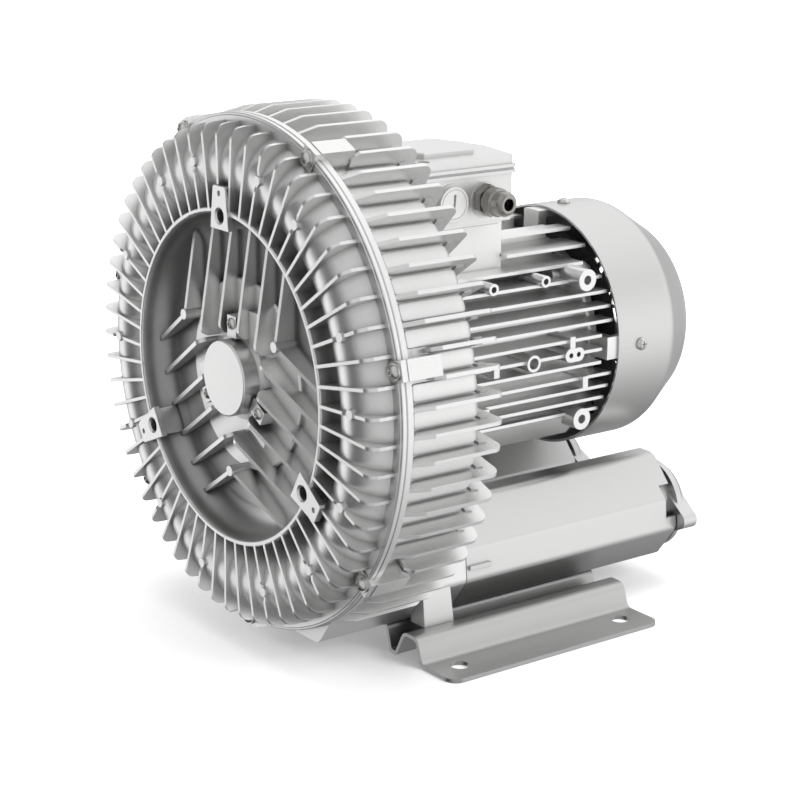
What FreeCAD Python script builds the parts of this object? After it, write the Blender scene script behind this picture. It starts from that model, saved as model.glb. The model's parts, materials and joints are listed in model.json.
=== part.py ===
import FreeCAD, Part
import math, os

os.makedirs("parts", exist_ok=True)
V = FreeCAD.Vector

# ---------------------------------------------------------------- driving dimensions (mm)
# working frame: shaft axis along +Y, rim of the front cover at y = 0, z = 0 on the shaft axis
SHAFT_H = 212.0            # shaft axis above the floor
PATTERN_Y = 197.0          # centre of the foot hole pattern behind the rim plane
HOLE_DX = 137.0            # half spacing of the foot holes across the machine
HOLE_DY = 80.0             # half spacing of the foot holes along the machine
HOLE_R = 7.5               # foot hole radius

RIM_R = 126.5              # outer radius of the dish rim
CH_R = 157.0               # mean radius of the side channel
CH_Y = 31.0                # axial centre of the side channel
CH_IN = 25.0               # inner radius of the channel section
CH_OUT = 29.0              # outer radius of the channel section
PART_Y = 24.5              # parting plane between the cover and the rear housing
FLANGE_F = 192.5           # outer radius of the cover flange
FLANGE_R = 194.0           # outer radius of the rear housing flange
N_FIN_F = 57               # cooling fins on the cover
FIN0_F = 79.2              # angle of the first cover fin
FIN_TIP_F = 188.0
FIN_STEP_R = 5.74          # angular pitch of the barrel fins
FIN0_R = 16.0
FIN_TIP_R = 198.0
BARREL_R = 184.0
BARREL_Y = 96.0            # rear face of the barrel
EAR_Y = 107.5              # rear edge of the fin ears
N_CLAMP = 7                # clamp screws around the flange
CLAMP_R = 191.5
CLAMP_A0 = -90.0
LUG_R = 121.5              # circle of the three threaded lugs
LUG_BORE = 5.1             # M12 core radius
FLOOR_Y = 22.5             # dish floor, front side
LAND_Y = 27.5              # dish floor, impeller side
PLATEAU_Y = 18.5
PLATEAU_R = 73.0
HUB_R = 28.6
RIB_PITCH = 25.0
RIB_T = 3.2

TUBE_X = 62.0              # silencer axis, half spacing
TUBE_Z = -150.0
TUBE_R = 40.0              # silencer section, corner radius of the octagon
TUBE_Y0 = 150.0
TUBE_Y1 = 368.0
PORT_Y1 = 381.0
PORT_BORE = 28.5           # G 2 thread, core radius

MOTOR_R = 71.0             # stator frame, outer radius without fins
STATOR_R = 65.0
MOTOR_FIN_R = 93.5
MOTOR_Y0 = 96.0
MOTOR_Y1 = 290.0
MFIN_PITCH = 10.7
COWL_R = 98.2
COWL_Y0 = 301.5
COWL_Y1 = 400.0

BOX_X = 49.0               # terminal box half width
BOX_Y0 = 143.0
BOX_Y1 = 231.0
BOX_BOW = 10.0
BOX_Z0 = 102.0
BOX_Z1 = 141.0
LID_Z = 152.3
PLUG_Y, GLAND_Y, ENTRY_Z = 171.5, 204.0, 120.0

SHAFT_SEAT = 12.0
BRG_D, BRG_O, BRG_W = 12.5, 26.0, 15.0   # 25 x 52 x 15 deep groove bearing, radii and width
BRG_F_Y = 62.0
BRG_R_Y = 283.0
ROTOR_R, STATOR_BORE = 40.5, 41.0
CORE_Y0, CORE_Y1 = 140.0, 240.0

# ---------------------------------------------------------------- helpers
def ring(r0, r1, y0, y1):
    s = Part.makeCylinder(r1, y1 - y0, V(0, y0, 0), V(0, 1, 0))
    if r0 > 0:
        s = s.cut(Part.makeCylinder(r0, y1 - y0 + 2, V(0, y0 - 1, 0), V(0, 1, 0)))
    return s

def cyl(r, p, d, h):
    return Part.makeCylinder(r, h, V(*p), V(*d))

def box(x0, x1, y0, y1, z0, z1):
    return Part.makeBox(x1 - x0, y1 - y0, z1 - z0, V(x0, y0, z0))

def wire2(start, segs, f):
    """closed wire from a start point and segments; a segment is (u, v) or ((mu, mv), (u, v)) for an arc"""
    e, p = [], start
    for s in list(segs) + [start]:
        if isinstance(s[0], tuple):
            e.append(Part.Arc(f(*p), f(*s[0]), f(*s[1])).toShape()); p = s[1]
        else:
            if math.hypot(s[0] - p[0], s[1] - p[1]) > 1e-6:
                e.append(Part.makeLine(f(*p), f(*s)))
            p = s
    return Part.Wire(e)

def rev(start, segs, ang=360.0, a0=0.0):
    """solid of revolution about the shaft axis of a profile in (radius, y)"""
    w = wire2(start, segs, lambda a, b: V(a, b, 0))
    s = Part.Face(w).revolve(V(0, 0, 0), V(0, 1, 0), ang)
    # +ang about +Y turns x towards -z: start angle is set by a rotation about Y
    if a0:
        s.rotate(V(0, 0, 0), V(0, 1, 0), -a0)
    return s

def turn(s, deg):
    """copy turned about the shaft axis so that +X goes to the angle deg, measured towards +Z"""
    c = s.copy(); c.rotate(V(0, 0, 0), V(0, 1, 0), -deg); return c

def plate(start, segs, t):
    """plate of thickness t in the plane z = 0 through the shaft axis, profile in (radius, y)"""
    w = wire2(start, segs, lambda a, b: V(a, b, -t / 2.0))
    return Part.Face(w).extrude(V(0, 0, t))

def prism_y(start, segs, y0, y1):
    w = wire2(start, segs, lambda a, b: V(a, y0, b))
    return Part.Face(w).extrude(V(0, y1 - y0, 0))

def prism_x(start, segs, x0, x1):
    w = wire2(start, segs, lambda a, b: V(x0, a, b))
    return Part.Face(w).extrude(V(x1 - x0, 0, 0))

def prism_z(start, segs, z0, z1):
    w = wire2(start, segs, lambda a, b: V(a, b, z0))
    return Part.Face(w).extrude(V(0, 0, z1 - z0))

def fuse(a, others):
    others = [o for o in others if o is not None]
    s = a.multiFuse(others) if others else a
    return s.removeSplitter()

def rrect(w, h, r, cx=0.0, cz=0.0):
    """rounded rectangle as start and segments, centred"""
    k = r * (1 - math.sqrt(0.5))
    a, b = w / 2.0, h / 2.0
    st = (cx - a + r, cz - b)
    sg = [(cx + a - r, cz - b), ((cx + a - k, cz - b + k), (cx + a, cz - b + r)),
          (cx + a, cz + b - r), ((cx + a - k, cz + b - k), (cx + a - r, cz + b)),
          (cx - a + r, cz + b), ((cx - a + k, cz + b - k), (cx - a, cz + b - r)),
          (cx - a, cz - b + r), ((cx - a + k, cz - b + k), st)]
    return st, sg

def octo(R, cx, cz, rc):
    """octagon with rounded corners, flats at the sides, as start and segments; R is the across-corner radius"""
    n = 8
    P = [(cx + R * math.cos(math.radians(22.5 + 45 * i)), cz + R * math.sin(math.radians(22.5 + 45 * i))) for i in range(n)]
    t = rc * math.tan(math.radians(22.5))
    seg = []
    start = None
    for i in range(n):
        p0, p, p1 = P[i - 1], P[i], P[(i + 1) % n]
        def unit(a, b):
            d = math.hypot(b[0] - a[0], b[1] - a[1]); return ((b[0] - a[0]) / d, (b[1] - a[1]) / d)
        u0, u1 = unit(p, p0), unit(p, p1)
        a = (p[0] + u0[0] * t, p[1] + u0[1] * t); b = (p[0] + u1[0] * t, p[1] + u1[1] * t)
        bis = (u0[0] + u1[0], u0[1] + u1[1]); L = math.hypot(*bis); bis = (bis[0] / L, bis[1] / L)
        dc = rc / math.cos(math.radians(22.5))
        c = (p[0] + bis[0] * dc, p[1] + bis[1] * dc)
        m = (c[0] - bis[0] * rc, c[1] - bis[1] * rc)
        if start is None:
            start = a; seg.append((m, b))
        else:
            seg.append(a); seg.append((m, b))
    return start, seg

def octo_tube(R, t, cx, cz, rc, y0, y1):
    o = prism_y(*octo(R, cx, cz, rc), y0, y1)
    i = prism_y(*octo(R - t / math.cos(math.radians(22.5)), cx, cz, rc - t), y0 - 1, y1 + 1)
    return o.cut(i)

def hexp(af, p, d, h):
    """hexagon prism, across flats af, from point p along d"""
    R = af / math.sqrt(3)
    w = Part.makePolygon([V(R * math.cos(math.radians(60 * i)), R * math.sin(math.radians(60 * i)), 0) for i in range(7)])
    s = Part.Face(w).extrude(V(0, 0, h))
    s.Placement = FreeCAD.Placement(V(*p), FreeCAD.Rotation(V(0, 0, 1), V(*d)))
    return s

def along(s, p, d):
    """places a shape built along +Z from the origin at p, pointing along d"""
    c = s.copy(); c.Placement = FreeCAD.Placement(V(*p), FreeCAD.Rotation(V(0, 0, 1), V(*d))); return c

def torx(r, depth):
    """six-lobed socket from z = 0 down to -depth"""
    s = Part.makeCylinder(r * 0.78, depth + 0.2, V(0, 0, -depth))
    for i in range(6):
        a = math.radians(60 * i)
        s = s.fuse(Part.makeCylinder(r * 0.25, depth + 0.2, V(r * 0.75 * math.cos(a), r * 0.75 * math.sin(a), -depth)))
    return s

def button_screw(d, L, hr, hh, socket=True):
    """button head screw: head seat at z = 0, head towards +Z, shank towards -Z"""
    R = (hr * hr + hh * hh) / (2 * hh)
    w = Part.Wire([Part.makeLine(V(0, 0, 0), V(hr, 0, 0)), Part.makeLine(V(hr, 0, 0), V(hr, 0, 0.5)),
                   Part.Arc(V(hr, 0, 0.5), V(hr * 0.78, 0, 0.5 + (hh - 0.5) * 0.62), V(hr * 0.42, 0, hh)).toShape(),
                   Part.makeLine(V(hr * 0.42, 0, hh), V(0, 0, hh)), Part.makeLine(V(0, 0, hh), V(0, 0, 0))])
    h = Part.Face(w).revolve(V(0, 0, 0), V(0, 0, 1), 360)
    s = h.fuse(Part.makeCylinder(d / 2.0, L + 0.2, V(0, 0, -L)))
    if socket:
        k = torx(d * 0.33, hh * 0.62); k.translate(V(0, 0, hh)); s = s.cut(k)
    return s.removeSplitter()

def pan_screw(d, L, hr, hh):
    """pan head screw with a cross recess, seat at z = 0"""
    w = Part.Wire([Part.makeLine(V(0, 0, 0), V(hr, 0, 0)), Part.makeLine(V(hr, 0, 0), V(hr, 0, hh * 0.4)),
                   Part.Arc(V(hr, 0, hh * 0.4), V(hr * 0.72, 0, hh * 0.88), V(0.001, 0, hh)).toShape(),
                   Part.makeLine(V(0.001, 0, hh), V(0.001, 0, 0)), ])
    h = Part.Face(Part.Wire([Part.makeLine(V(0, 0, 0), V(hr, 0, 0)), Part.makeLine(V(hr, 0, 0), V(hr, 0, hh * 0.4)),
                   Part.Arc(V(hr, 0, hh * 0.4), V(hr * 0.72, 0, hh * 0.86), V(0, 0, hh)).toShape(),
                   Part.makeLine(V(0, 0, hh), V(0, 0, 0))])).revolve(V(0, 0, 0), V(0, 0, 1), 360)
    s = h.fuse(Part.makeCylinder(d / 2.0, L + 0.2, V(0, 0, -L)))
    a = hr * 0.52; b = hr * 0.11
    cross = Part.makeBox(2 * a, 2 * b, hh, V(-a, -b, hh * 0.45)).fuse(Part.makeBox(2 * b, 2 * a, hh, V(-b, -a, hh * 0.45)))
    return s.cut(cross).removeSplitter()

def hex_bolt(d, L, af, hh):
    s = hexp(af, (0, 0, 0), (0, 0, 1), hh)
    chamf = Part.makeCone(af * 0.5 + hh * 1.6, af * 0.5 - 0.6, hh + 1.0, V(0, 0, -0.6))
    s = s.common(chamf)
    return s.fuse(Part.makeCylinder(d / 2.0, L + 0.2, V(0, 0, -L))).removeSplitter()

NODES = []
def out(name, shape):
    if isinstance(shape, (list, tuple)):
        sols = []
        for s in shape:
            sols += s.Solids if s.Solids else [s]
        shape = Part.makeCompound(sols)
    elif len(shape.Solids) == 1:
        shape = shape.Solids[0]
    shape = shape.copy()
    shape.translate(V(0, -PATTERN_Y, SHAFT_H))
    shape.exportStep("parts/%s.step" % name)
    bb = shape.BoundBox
    NODES.append(name)
    print("%-28s solids %2d valid %s vol %.0f  [%.1f %.1f %.1f | %.1f %.1f %.1f]" % (
        name, len(shape.Solids), shape.isValid(), shape.Volume, bb.XMin, bb.YMin, bb.ZMin, bb.XMax, bb.YMax, bb.ZMax), flush=True)

CLAMP_A = [CLAMP_A0 + 360.0 / N_CLAMP * i for i in range(N_CLAMP)]
def polar(r, deg, y):
    a = math.radians(deg); return (r * math.cos(a), y, r * math.sin(a))

# ---------------------------------------------------------------- front cover
def torus_arc(r, ya, yb, outer_first=False):
    """points of a circle of radius r around the channel centre, at the y levels ya (inner side) and yb (outer side)"""
    xi = CH_R - math.sqrt(r * r - (CH_Y - ya) ** 2)
    xo = CH_R + math.sqrt(r * r - (CH_Y - yb) ** 2)
    return xi, xo

def front_cover():
    xi, xo = torus_arc(CH_OUT, 16.0, 20.5)
    ci, co = torus_arc(CH_IN, LAND_Y, PART_Y)
    shell = rev((0, -0.8), [
        (27.4, -0.8), ((28.25, -0.45), (HUB_R, 0.4)), (HUB_R, 12.6), (33.0, 14.0), (33.0, PLATEAU_Y),
        (PLATEAU_R - 1.5, PLATEAU_Y), (PLATEAU_R, PLATEAU_Y + 1.5), (PLATEAU_R, FLOOR_Y), (101.0, FLOOR_Y),
        ((115.5, 18.2), (121.6, 6.5)), (122.4, 1.0), ((122.9, 0.3), (123.7, 0.0)), (125.3, 0.0), ((126.2, 0.35), (RIM_R, 1.2)),
        (RIM_R, 16.0), (xi, 16.0), ((CH_R, CH_Y - CH_OUT), (xo, 20.5)), (FLANGE_F - 1.0, 20.5), (FLANGE_F, 21.5),
        (FLANGE_F, PART_Y), (co, PART_Y), ((CH_R, CH_Y - CH_IN), (ci, LAND_Y)), (34.0, LAND_Y), (34.0, 23.5), (24.0, 23.5),
        (24.0, 5.0), (0, 5.0)])
    add = []
    # radial cooling fins, from the rim over the channel shell to the flange
    pins = {1, 4, 9, 12, 16, 20, 24, 29, 33, 37, 41, 45, 50, 53}
    for k in range(N_FIN_F):
        a = FIN0_F - 360.0 / N_FIN_F * k
        d = 29.5
        inner = [(184.5, 24.0), (183.0, 24.0), ((CH_R, CH_Y - 27.0), (131.5, 22.0)), (124.5, 22.0)]
        if k in pins:
            seg = [(152.5, 0.0), (155.5, 1.0), (165.5, 1.0), (168.5, 0.0)]
            add.append(turn(cyl(3.7, (160.5, 0.2, 0), (0, 1, 0), 5.0), a))
        else:
            seg = []
        f = plate((124.5, 0.0), seg + [(179.5, 0.0), ((184.2, 1.9), (187.3, 6.5)), (FIN_TIP_F, 12.0), (FIN_TIP_F, 23.0)] + inner, 2.6)
        add.append(turn(f, a))
    # ribs in the dish: three groups of six parallel ribs
    for g in (90.0, 210.0, 330.0):
        for i in range(6):
            off = -62.5 + RIB_PITCH * i
            s0 = {62.5: 36.0, 37.5: 24.0, 12.5: 31.0}[abs(off)]
            s1 = math.sqrt(120.5 ** 2 - off * off)
            def yf(s): return 15.8 - 0.162 * (109.0 - s)
            r = 9.0
            yb = LAND_Y - 1.5
            if abs(off) == 62.5:
                pr = [(s0, yf(s0)), (s1, yf(s1)), (s1, yb)]
                start = (s0, yb)
            else:
                k = r * (1 - math.sqrt(0.5))
                pr = [(s0, yf(s0) + r), ((s0 + k, yf(s0) + k), (s0 + r, yf(s0 + r) - 0.2)), (s1, yf(s1)), (s1, yb)]
                start = (s0, yb)
            f = plate(start, pr, RIB_T)
            f.translate(V(0, 0, -off))
            add.append(turn(f, g))
            if abs(off) == 62.5:
                add.append(turn(cyl(4.0, (s0, yf(s0) - 1.0, -off), (0, 1, 0), yb - yf(s0) + 1.0), g))
        # screw boss beside the hub and cast stiffening pads on the plateau
        add.append(turn(box(30.0, 46.5, 7.0, LAND_Y - 1, -6.0, 6.0), g))
        add.append(turn(box(26.0, 52.0, 13.0, LAND_Y - 1, -26.0, -14.2), g))
        # lug with its block
        add.append(turn(prism_y((111.7, -12.2), [(142.0, -8.4), (143.5, -6.8), (143.5, 6.8), (142.0, 8.4), (111.7, 12.2)], -2.0, 2.5), g))
        add.append(turn(prism_y((112.7, -10.6), [(140.5, -7.2), (140.5, 7.2), (112.7, 10.6)], 2.0, 20.0), g))
    # clamp bosses
    for a in CLAMP_A:
        add.append(turn(box(180.5, 199.0, 19.5, PART_Y, -7.5, 7.5), a))
    body = fuse(shell, add)
    # keep everything out of the channel and behind the parting plane
    cut = []
    cav = rev((co, 29.0), [(co, PART_Y), ((CH_R, CH_Y - CH_IN), (ci, LAND_Y)), (ci, 29.0)])
    cut.append(cav)
    for a in CLAMP_A:
        cut.append(turn(cyl(3.3, (CLAMP_R, 15, 0), (0, 1, 0), 12), a))
        cut.append(turn(cyl(7.0, (CLAMP_R, -6, 0), (0, 1, 0), 25.5), a))
    for g in (90.0, 210.0, 330.0):
        cut.append(turn(cyl(LUG_BORE, (LUG_R, -3, 0), (0, 1, 0), 19.0), g))
        cut.append(turn(Part.makeCone(LUG_BORE + 1.3, LUG_BORE - 0.2, 1.5, V(LUG_R, -2.01, 0), V(0, 1, 0)), g))
        cut.append(turn(cyl(2.0, (138.2, -3, 0), (0, 1, 0), 2.2), g))
        cut.append(turn(cyl(2.6, (40.5, 6, 0), (0, 1, 0), 16), g))
    body = body.cut(Part.makeCompound(cut))
    # stripper block between the two ports
    si, so = torus_arc(CH_IN + 0.6, 20.4, 20.4)
    st = rev((si, 20.4), [((CH_R, CH_Y - CH_IN - 0.6), (so, 20.4))], 27.0, -76.5)
    body = body.fuse(st).removeSplitter()
    return body

def at_clamp(shape, y):
    return [along(shape, polar(CLAMP_R, a, y), (0, -1, 0)) for a in CLAMP_A]

# ---------------------------------------------------------------- rear housing
TUBE_SEC = [(40, -11), (37.5, 14), (9.5, 46), (-9.5, 46), (-37.5, 14), (-40, -11), (-18, -40), (18, -40)]
TUBE_SEC_R = [7, 6, 11, 11, 6, 7, 9, 9]

def section(sec, rad, cx, cz, inset=0.0):
    """closed rounded polygon as start and segments; inset moves every side inwards"""
    n = len(sec)
    # inset lines
    P = []
    for i in range(n):
        p0, p, p1 = sec[i - 1], sec[i], sec[(i + 1) % n]
        def nrm(a, b):
            dx, dy = b[0] - a[0], b[1] - a[1]; L = math.hypot(dx, dy); return (-dy / L, dx / L), (dx / L, dy / L)
        n0, d0 = nrm(p0, p); n1, d1 = nrm(p, p1)
        # inward normal is to the left for a counter-clockwise polygon
        a = (p[0] + n0[0] * inset, p[1] + n0[1] * inset); b = (p[0] + n1[0] * inset, p[1] + n1[1] * inset)
        det = d0[0] * d1[1] - d0[1] * d1[0]
        s = ((b[0] - a[0]) * d1[1] - (b[1] - a[1]) * d1[0]) / det
        P.append((a[0] + d0[0] * s + cx, a[1] + d0[1] * s + cz))
    start, seg = None, []
    for i in range(n):
        p0, p, p1 = P[i - 1], P[i], P[(i + 1) % n]
        r = max(rad[i] - inset, 1.0)
        def unit(a, b):
            d = math.hypot(b[0] - a[0], b[1] - a[1]); return ((b[0] - a[0]) / d, (b[1] - a[1]) / d)
        u0, u1 = unit(p, p0), unit(p, p1)
        half = math.acos(max(-1, min(1, u0[0] * u1[0] + u0[1] * u1[1]))) / 2
        t = r / math.tan(half)
        a = (p[0] + u0[0] * t, p[1] + u0[1] * t); b = (p[0] + u1[0] * t, p[1] + u1[1] * t)
        bx, by = u0[0] + u1[0], u0[1] + u1[1]; L = math.hypot(bx, by); bx, by = bx / L, by / L
        dc = r / math.sin(half)
        m = (p[0] + bx * (dc - r), p[1] + by * (dc - r))
        if start is None:
            start = a
        else:
            seg.append(a)
        seg.append((m, b))
    return start, seg

def sec_prism(cx, y0, y1, inset=0.0, cz=TUBE_Z):
    # polygon listed clockwise from the side, reversed to counter-clockwise
    sec = TUBE_SEC[::1]
    area = sum(sec[i - 1][0] * sec[i][1] - sec[i][0] * sec[i - 1][1] for i in range(len(sec)))
    if area < 0:
        sec = sec[::-1]; rad = TUBE_SEC_R[::-1]
    else:
        rad = TUBE_SEC_R
    return prism_y(*section(sec, rad, cx, cz, inset), y0, y1)

def chords(r, p, q, n, outside):
    """points of a chain of n flat chords round the channel centre from p over the top to q, through the points where it leaves the circle"""
    a0 = math.atan2(p[1] - CH_Y, p[0] - CH_R); a1 = math.atan2(q[1] - CH_Y, q[0] - CH_R)
    if a0 < 0: a0 += 2 * math.pi
    k = 1.0 / math.cos((a0 - a1) / n / 2.0) if outside else 1.0
    pts = [p]
    for i in range(n):
        a = a0 + (a1 - a0) * (i + 0.5) / n
        pts.append((CH_R + r * k * math.cos(a), CH_Y + r * k * math.sin(a)))
    return pts + [q]

def rear_housing():
    ci = CH_R - math.sqrt(CH_IN ** 2 - (CH_Y - 34.5) ** 2)
    co = CH_R + math.sqrt(CH_IN ** 2 - (CH_Y - PART_Y) ** 2)
    bo = BRG_O + 0.02
    # the inside of the channel is drawn in flat chords that lie outside its circle
    chan = chords(CH_IN, (ci, 34.5), (co, PART_Y), 10, True)
    # turned section: front plate, channel, flange, barrel, back wall, bearing hub
    main = rev((22.5, 34.5), chan + [(FLANGE_R - 1, PART_Y), (FLANGE_R, 25.5), (FLANGE_R, 30.0),
                              (189.0, 30.4), (185.4, 34.5), (BARREL_R, 41.0), (BARREL_R, 86.0), ((181.1, 93.1), (174.0, BARREL_Y)),
                              (66.0, BARREL_Y), (66.0, 91.0), (92.0, 91.0), (92.0, 40.5), (44.0, 40.5), (44.0, 81.0), (bo, 81.0), (bo, 79.1),
                              (27.4, 79.1), (27.4, 77.3), (bo, 77.3), (bo, BRG_F_Y), (22.0, BRG_F_Y), (22.0, 52.0), (32.0, 52.0), (32.0, 40.5), (22.5, 40.5)])
    ti = CH_R - math.sqrt(CH_OUT ** 2 - (40.5 - CH_Y) ** 2)
    ty = CH_Y + math.sqrt(CH_OUT ** 2 - (179.5 - CH_R) ** 2)
    void = rev((97.0, 40.5), chords(CH_OUT, (ti, 40.5), (179.5, ty), 8, True) + [(179.5, 84.0), ((177.3, 89.0), (172.0, 91.0)), (97.0, 91.0)])
    main = main.cut(void)
    add = []
    for k in range(6):
        add.append(turn(plate((43.0, 39.5), [(93.0, 39.5), (93.0, 66.0), (43.0, 78.0)], 6.0), 30.0 + 60.0 * k))
    clear = ring(0, 181.75, 20.0, 93.5)
    for sx in (-1, 1):
        # duct that carries a port back to its silencer
        add.append(sec_prism(sx * TUBE_X, 28.5, TUBE_Y0).cut(clear))
        add.append(cyl(24.0, (sx * 60.3, 53.0, -144.9), (0, 1, 0), 41.0))
        xa, xb = sorted((sx * 84.0, sx * 101.3))
        add.append(prism_x((111.0, -190.0), [(138.5, -190.0), (134.0, -156.0), (108.5, -156.0)], xa, xb))
    for a in CLAMP_A:
        add.append(turn(box(183.0, 199.6, PART_Y, 53.0, -7.5, 7.5), a))
    for i in range(4):
        add.append(turn(cyl(9.0, (80.0, 70.0, 0), (0, 1, 0), 25.0), 45.0 + 90.0 * i))
        add.append(turn(box(80.0, 93.0, 70.0, 95.0, -4, 4), 45.0 + 90.0 * i))
    body = fuse(main, add)
    print("  housing body", len(body.Solids), body.isValid(), round(body.Volume), flush=True)
    cut = []
    for sx in (-1, 1):
        boss = cyl(9.0, (sx * 60.0, 122.0, -190.0), (0, 0, 1), 16.0)
        cut.append(cyl(19.0, (sx * 60.3, 44.0, -144.9), (0, 1, 0), 60.0))
        cut.append(sec_prism(sx * TUBE_X, 96.0, TUBE_Y0 + 1, 5.0).cut(boss))
        cut.append(cyl(4.05, (sx * 60.0, 122.0, -191.0), (0, 0, 1), 13.0))
    for a in CLAMP_A:
        cut.append(turn(cyl(3.05, (CLAMP_R, 20, 0), (0, 1, 0), 27.0), a))
    for i in range(4):
        cut.append(turn(cyl(4.05, (80.0, 74.0, 0), (0, 1, 0), 24.0), 45.0 + 90.0 * i))
    body = body.cut(Part.makeCompound(cut))
    print("  housing bored", len(body.Solids), body.isValid(), round(body.Volume), flush=True)
    # barrel fins with their rear ears and ear gussets
    fins = []
    k = -13
    while True:
        a = FIN0_R + FIN_STEP_R * k
        k += 1
        if a > 180.0 + 61.0:
            break
        near = min(abs(((a - c) + 180) % 360 - 180) for c in CLAMP_A)
        y0 = 28.0 if near > 3.4 else 50.0
        f = plate((182.5, y0), [(193.0, y0), (FIN_TIP_R, y0 + (18.0 if y0 < 40 else 6.5)), (FIN_TIP_R, 98.5), ((195.8, 104.6), (190.0, EAR_Y)),
                                (160.0, 108.5), (118.0, 99.5), (110.0, 95.0), (150.0, 93.0)], 3.0)
        g = plate((176.0, 93.2), [(186.0, 93.2), (187.5, 98.5), (179.0, 104.5), (176.0, 104.5)], 5.6)
        fins.append(turn(f.fuse(g), a))
    body = fuse(body, fins)
    print("  housing finned", len(body.Solids), body.isValid(), round(body.Volume), flush=True)
    yi = 41.6
    rr = math.sqrt((CH_IN + 0.6) ** 2 - (yi - CH_Y) ** 2)
    st = rev((CH_R - rr, yi), [(CH_R + rr, yi), ((CH_R, CH_Y + CH_IN + 0.6), (CH_R - rr, yi))], 26.0, -77.0)
    return body.fuse(st).removeSplitter()

# ---------------------------------------------------------------- impeller and its fastening
def impeller():
    base = rev((SHAFT_SEAT, 14.0), [(22.0, 14.0), (22.0, 28.0), (133.0, 28.0), (134.4, 26.6), (134.9, 23.0), (138.0, 23.0), (138.0, 29.5),
                                    (178.4, 29.8), (178.4, 32.2), (138.0, 32.5), (138.0, 39.0), (134.9, 39.0), (134.4, 35.4), (133.0, 34.0),
                                    (22.0, 34.0), (22.0, 40.0), (20.0, 41.0), (20.0, 51.6), (SHAFT_SEAT, 51.6)])
    bl = []
    n = 44
    for i in range(n):
        b = plate((136.5, 23.4), [(150.0, 21.2), (172.0, 21.2), (177.2, 24.0), (177.2, 38.0), (172.0, 40.8), (150.0, 40.8), (136.5, 38.6)], 2.2)
        bl.append(turn(b, 360.0 / n * i))
    s = fuse(base, bl)
    s = s.cut(box(-4.0, 4.0, 20.0, 52.0, 8.0, 15.3))
    for i in range(6):
        s = s.cut(turn(cyl(6.0, (58.0, 20, 0), (0, 1, 0), 20.0), 60.0 * i + 30))
    return s.removeSplitter()

# ---------------------------------------------------------------- motor parts
def motor_shaft():
    s = rev((0, 15.0), [(10.6, 15.0), (SHAFT_SEAT, 16.4), (SHAFT_SEAT, 61.9), (BRG_D, 61.9), (BRG_D, BRG_F_Y + BRG_W), (15.5, BRG_F_Y + BRG_W),
                      (15.5, 136.0), (16.0, 136.0), (16.0, 244.0), (15.5, 244.0), (15.5, BRG_R_Y), (BRG_D, BRG_R_Y), (BRG_D, 299.0),
                      (10.0, 300.0), (10.0, 343.2), (9.2, 343.2), (9.2, 344.7), (10.0, 344.7), (10.0, 348.0), (9.0, 349.0), (0, 349.0)])
    s = s.cut(cyl(4.05, (0, 14, 0), (0, 1, 0), 26.0))
    s = s.cut(box(-4.0, 4.0, 18.0, 48.0, 8.0, 12.5))
    return s

def bearing(y):
    """outer ring, inner ring, and the balls with their cage, as three shapes"""
    w = BRG_W
    rp = (BRG_D + BRG_O) / 2.0
    rb = 3.97
    ym = y + w / 2.0
    tor = lambda r: Part.makeTorus(rp, r, V(0, ym, 0), V(0, 1, 0))
    o = ring(rp + 2.5, BRG_O, y, y + w).cut(tor(rb + 0.05))
    i = ring(BRG_D, rp - 2.5, y, y + w).cut(tor(rb + 0.05))
    n = 9
    balls = []
    for k in range(n):
        a = 2 * math.pi * k / n
        balls.append(Part.makeSphere(rb, V(rp * math.cos(a), ym, rp * math.sin(a))))
    cage = ring(rp - 1.5, rp + 1.5, ym - 5.2, ym + 5.2)
    pockets = []
    for k in range(n):
        d = (math.cos(2 * math.pi * k / n), 0, math.sin(2 * math.pi * k / n))
        pockets.append(cyl(rb + 0.15, ((rp - 4.0) * d[0], ym, (rp - 4.0) * d[2]), d, 8.0))
    cage = cage.cut(Part.makeCompound(pockets)).removeSplitter()
    return o, i, balls, cage

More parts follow.
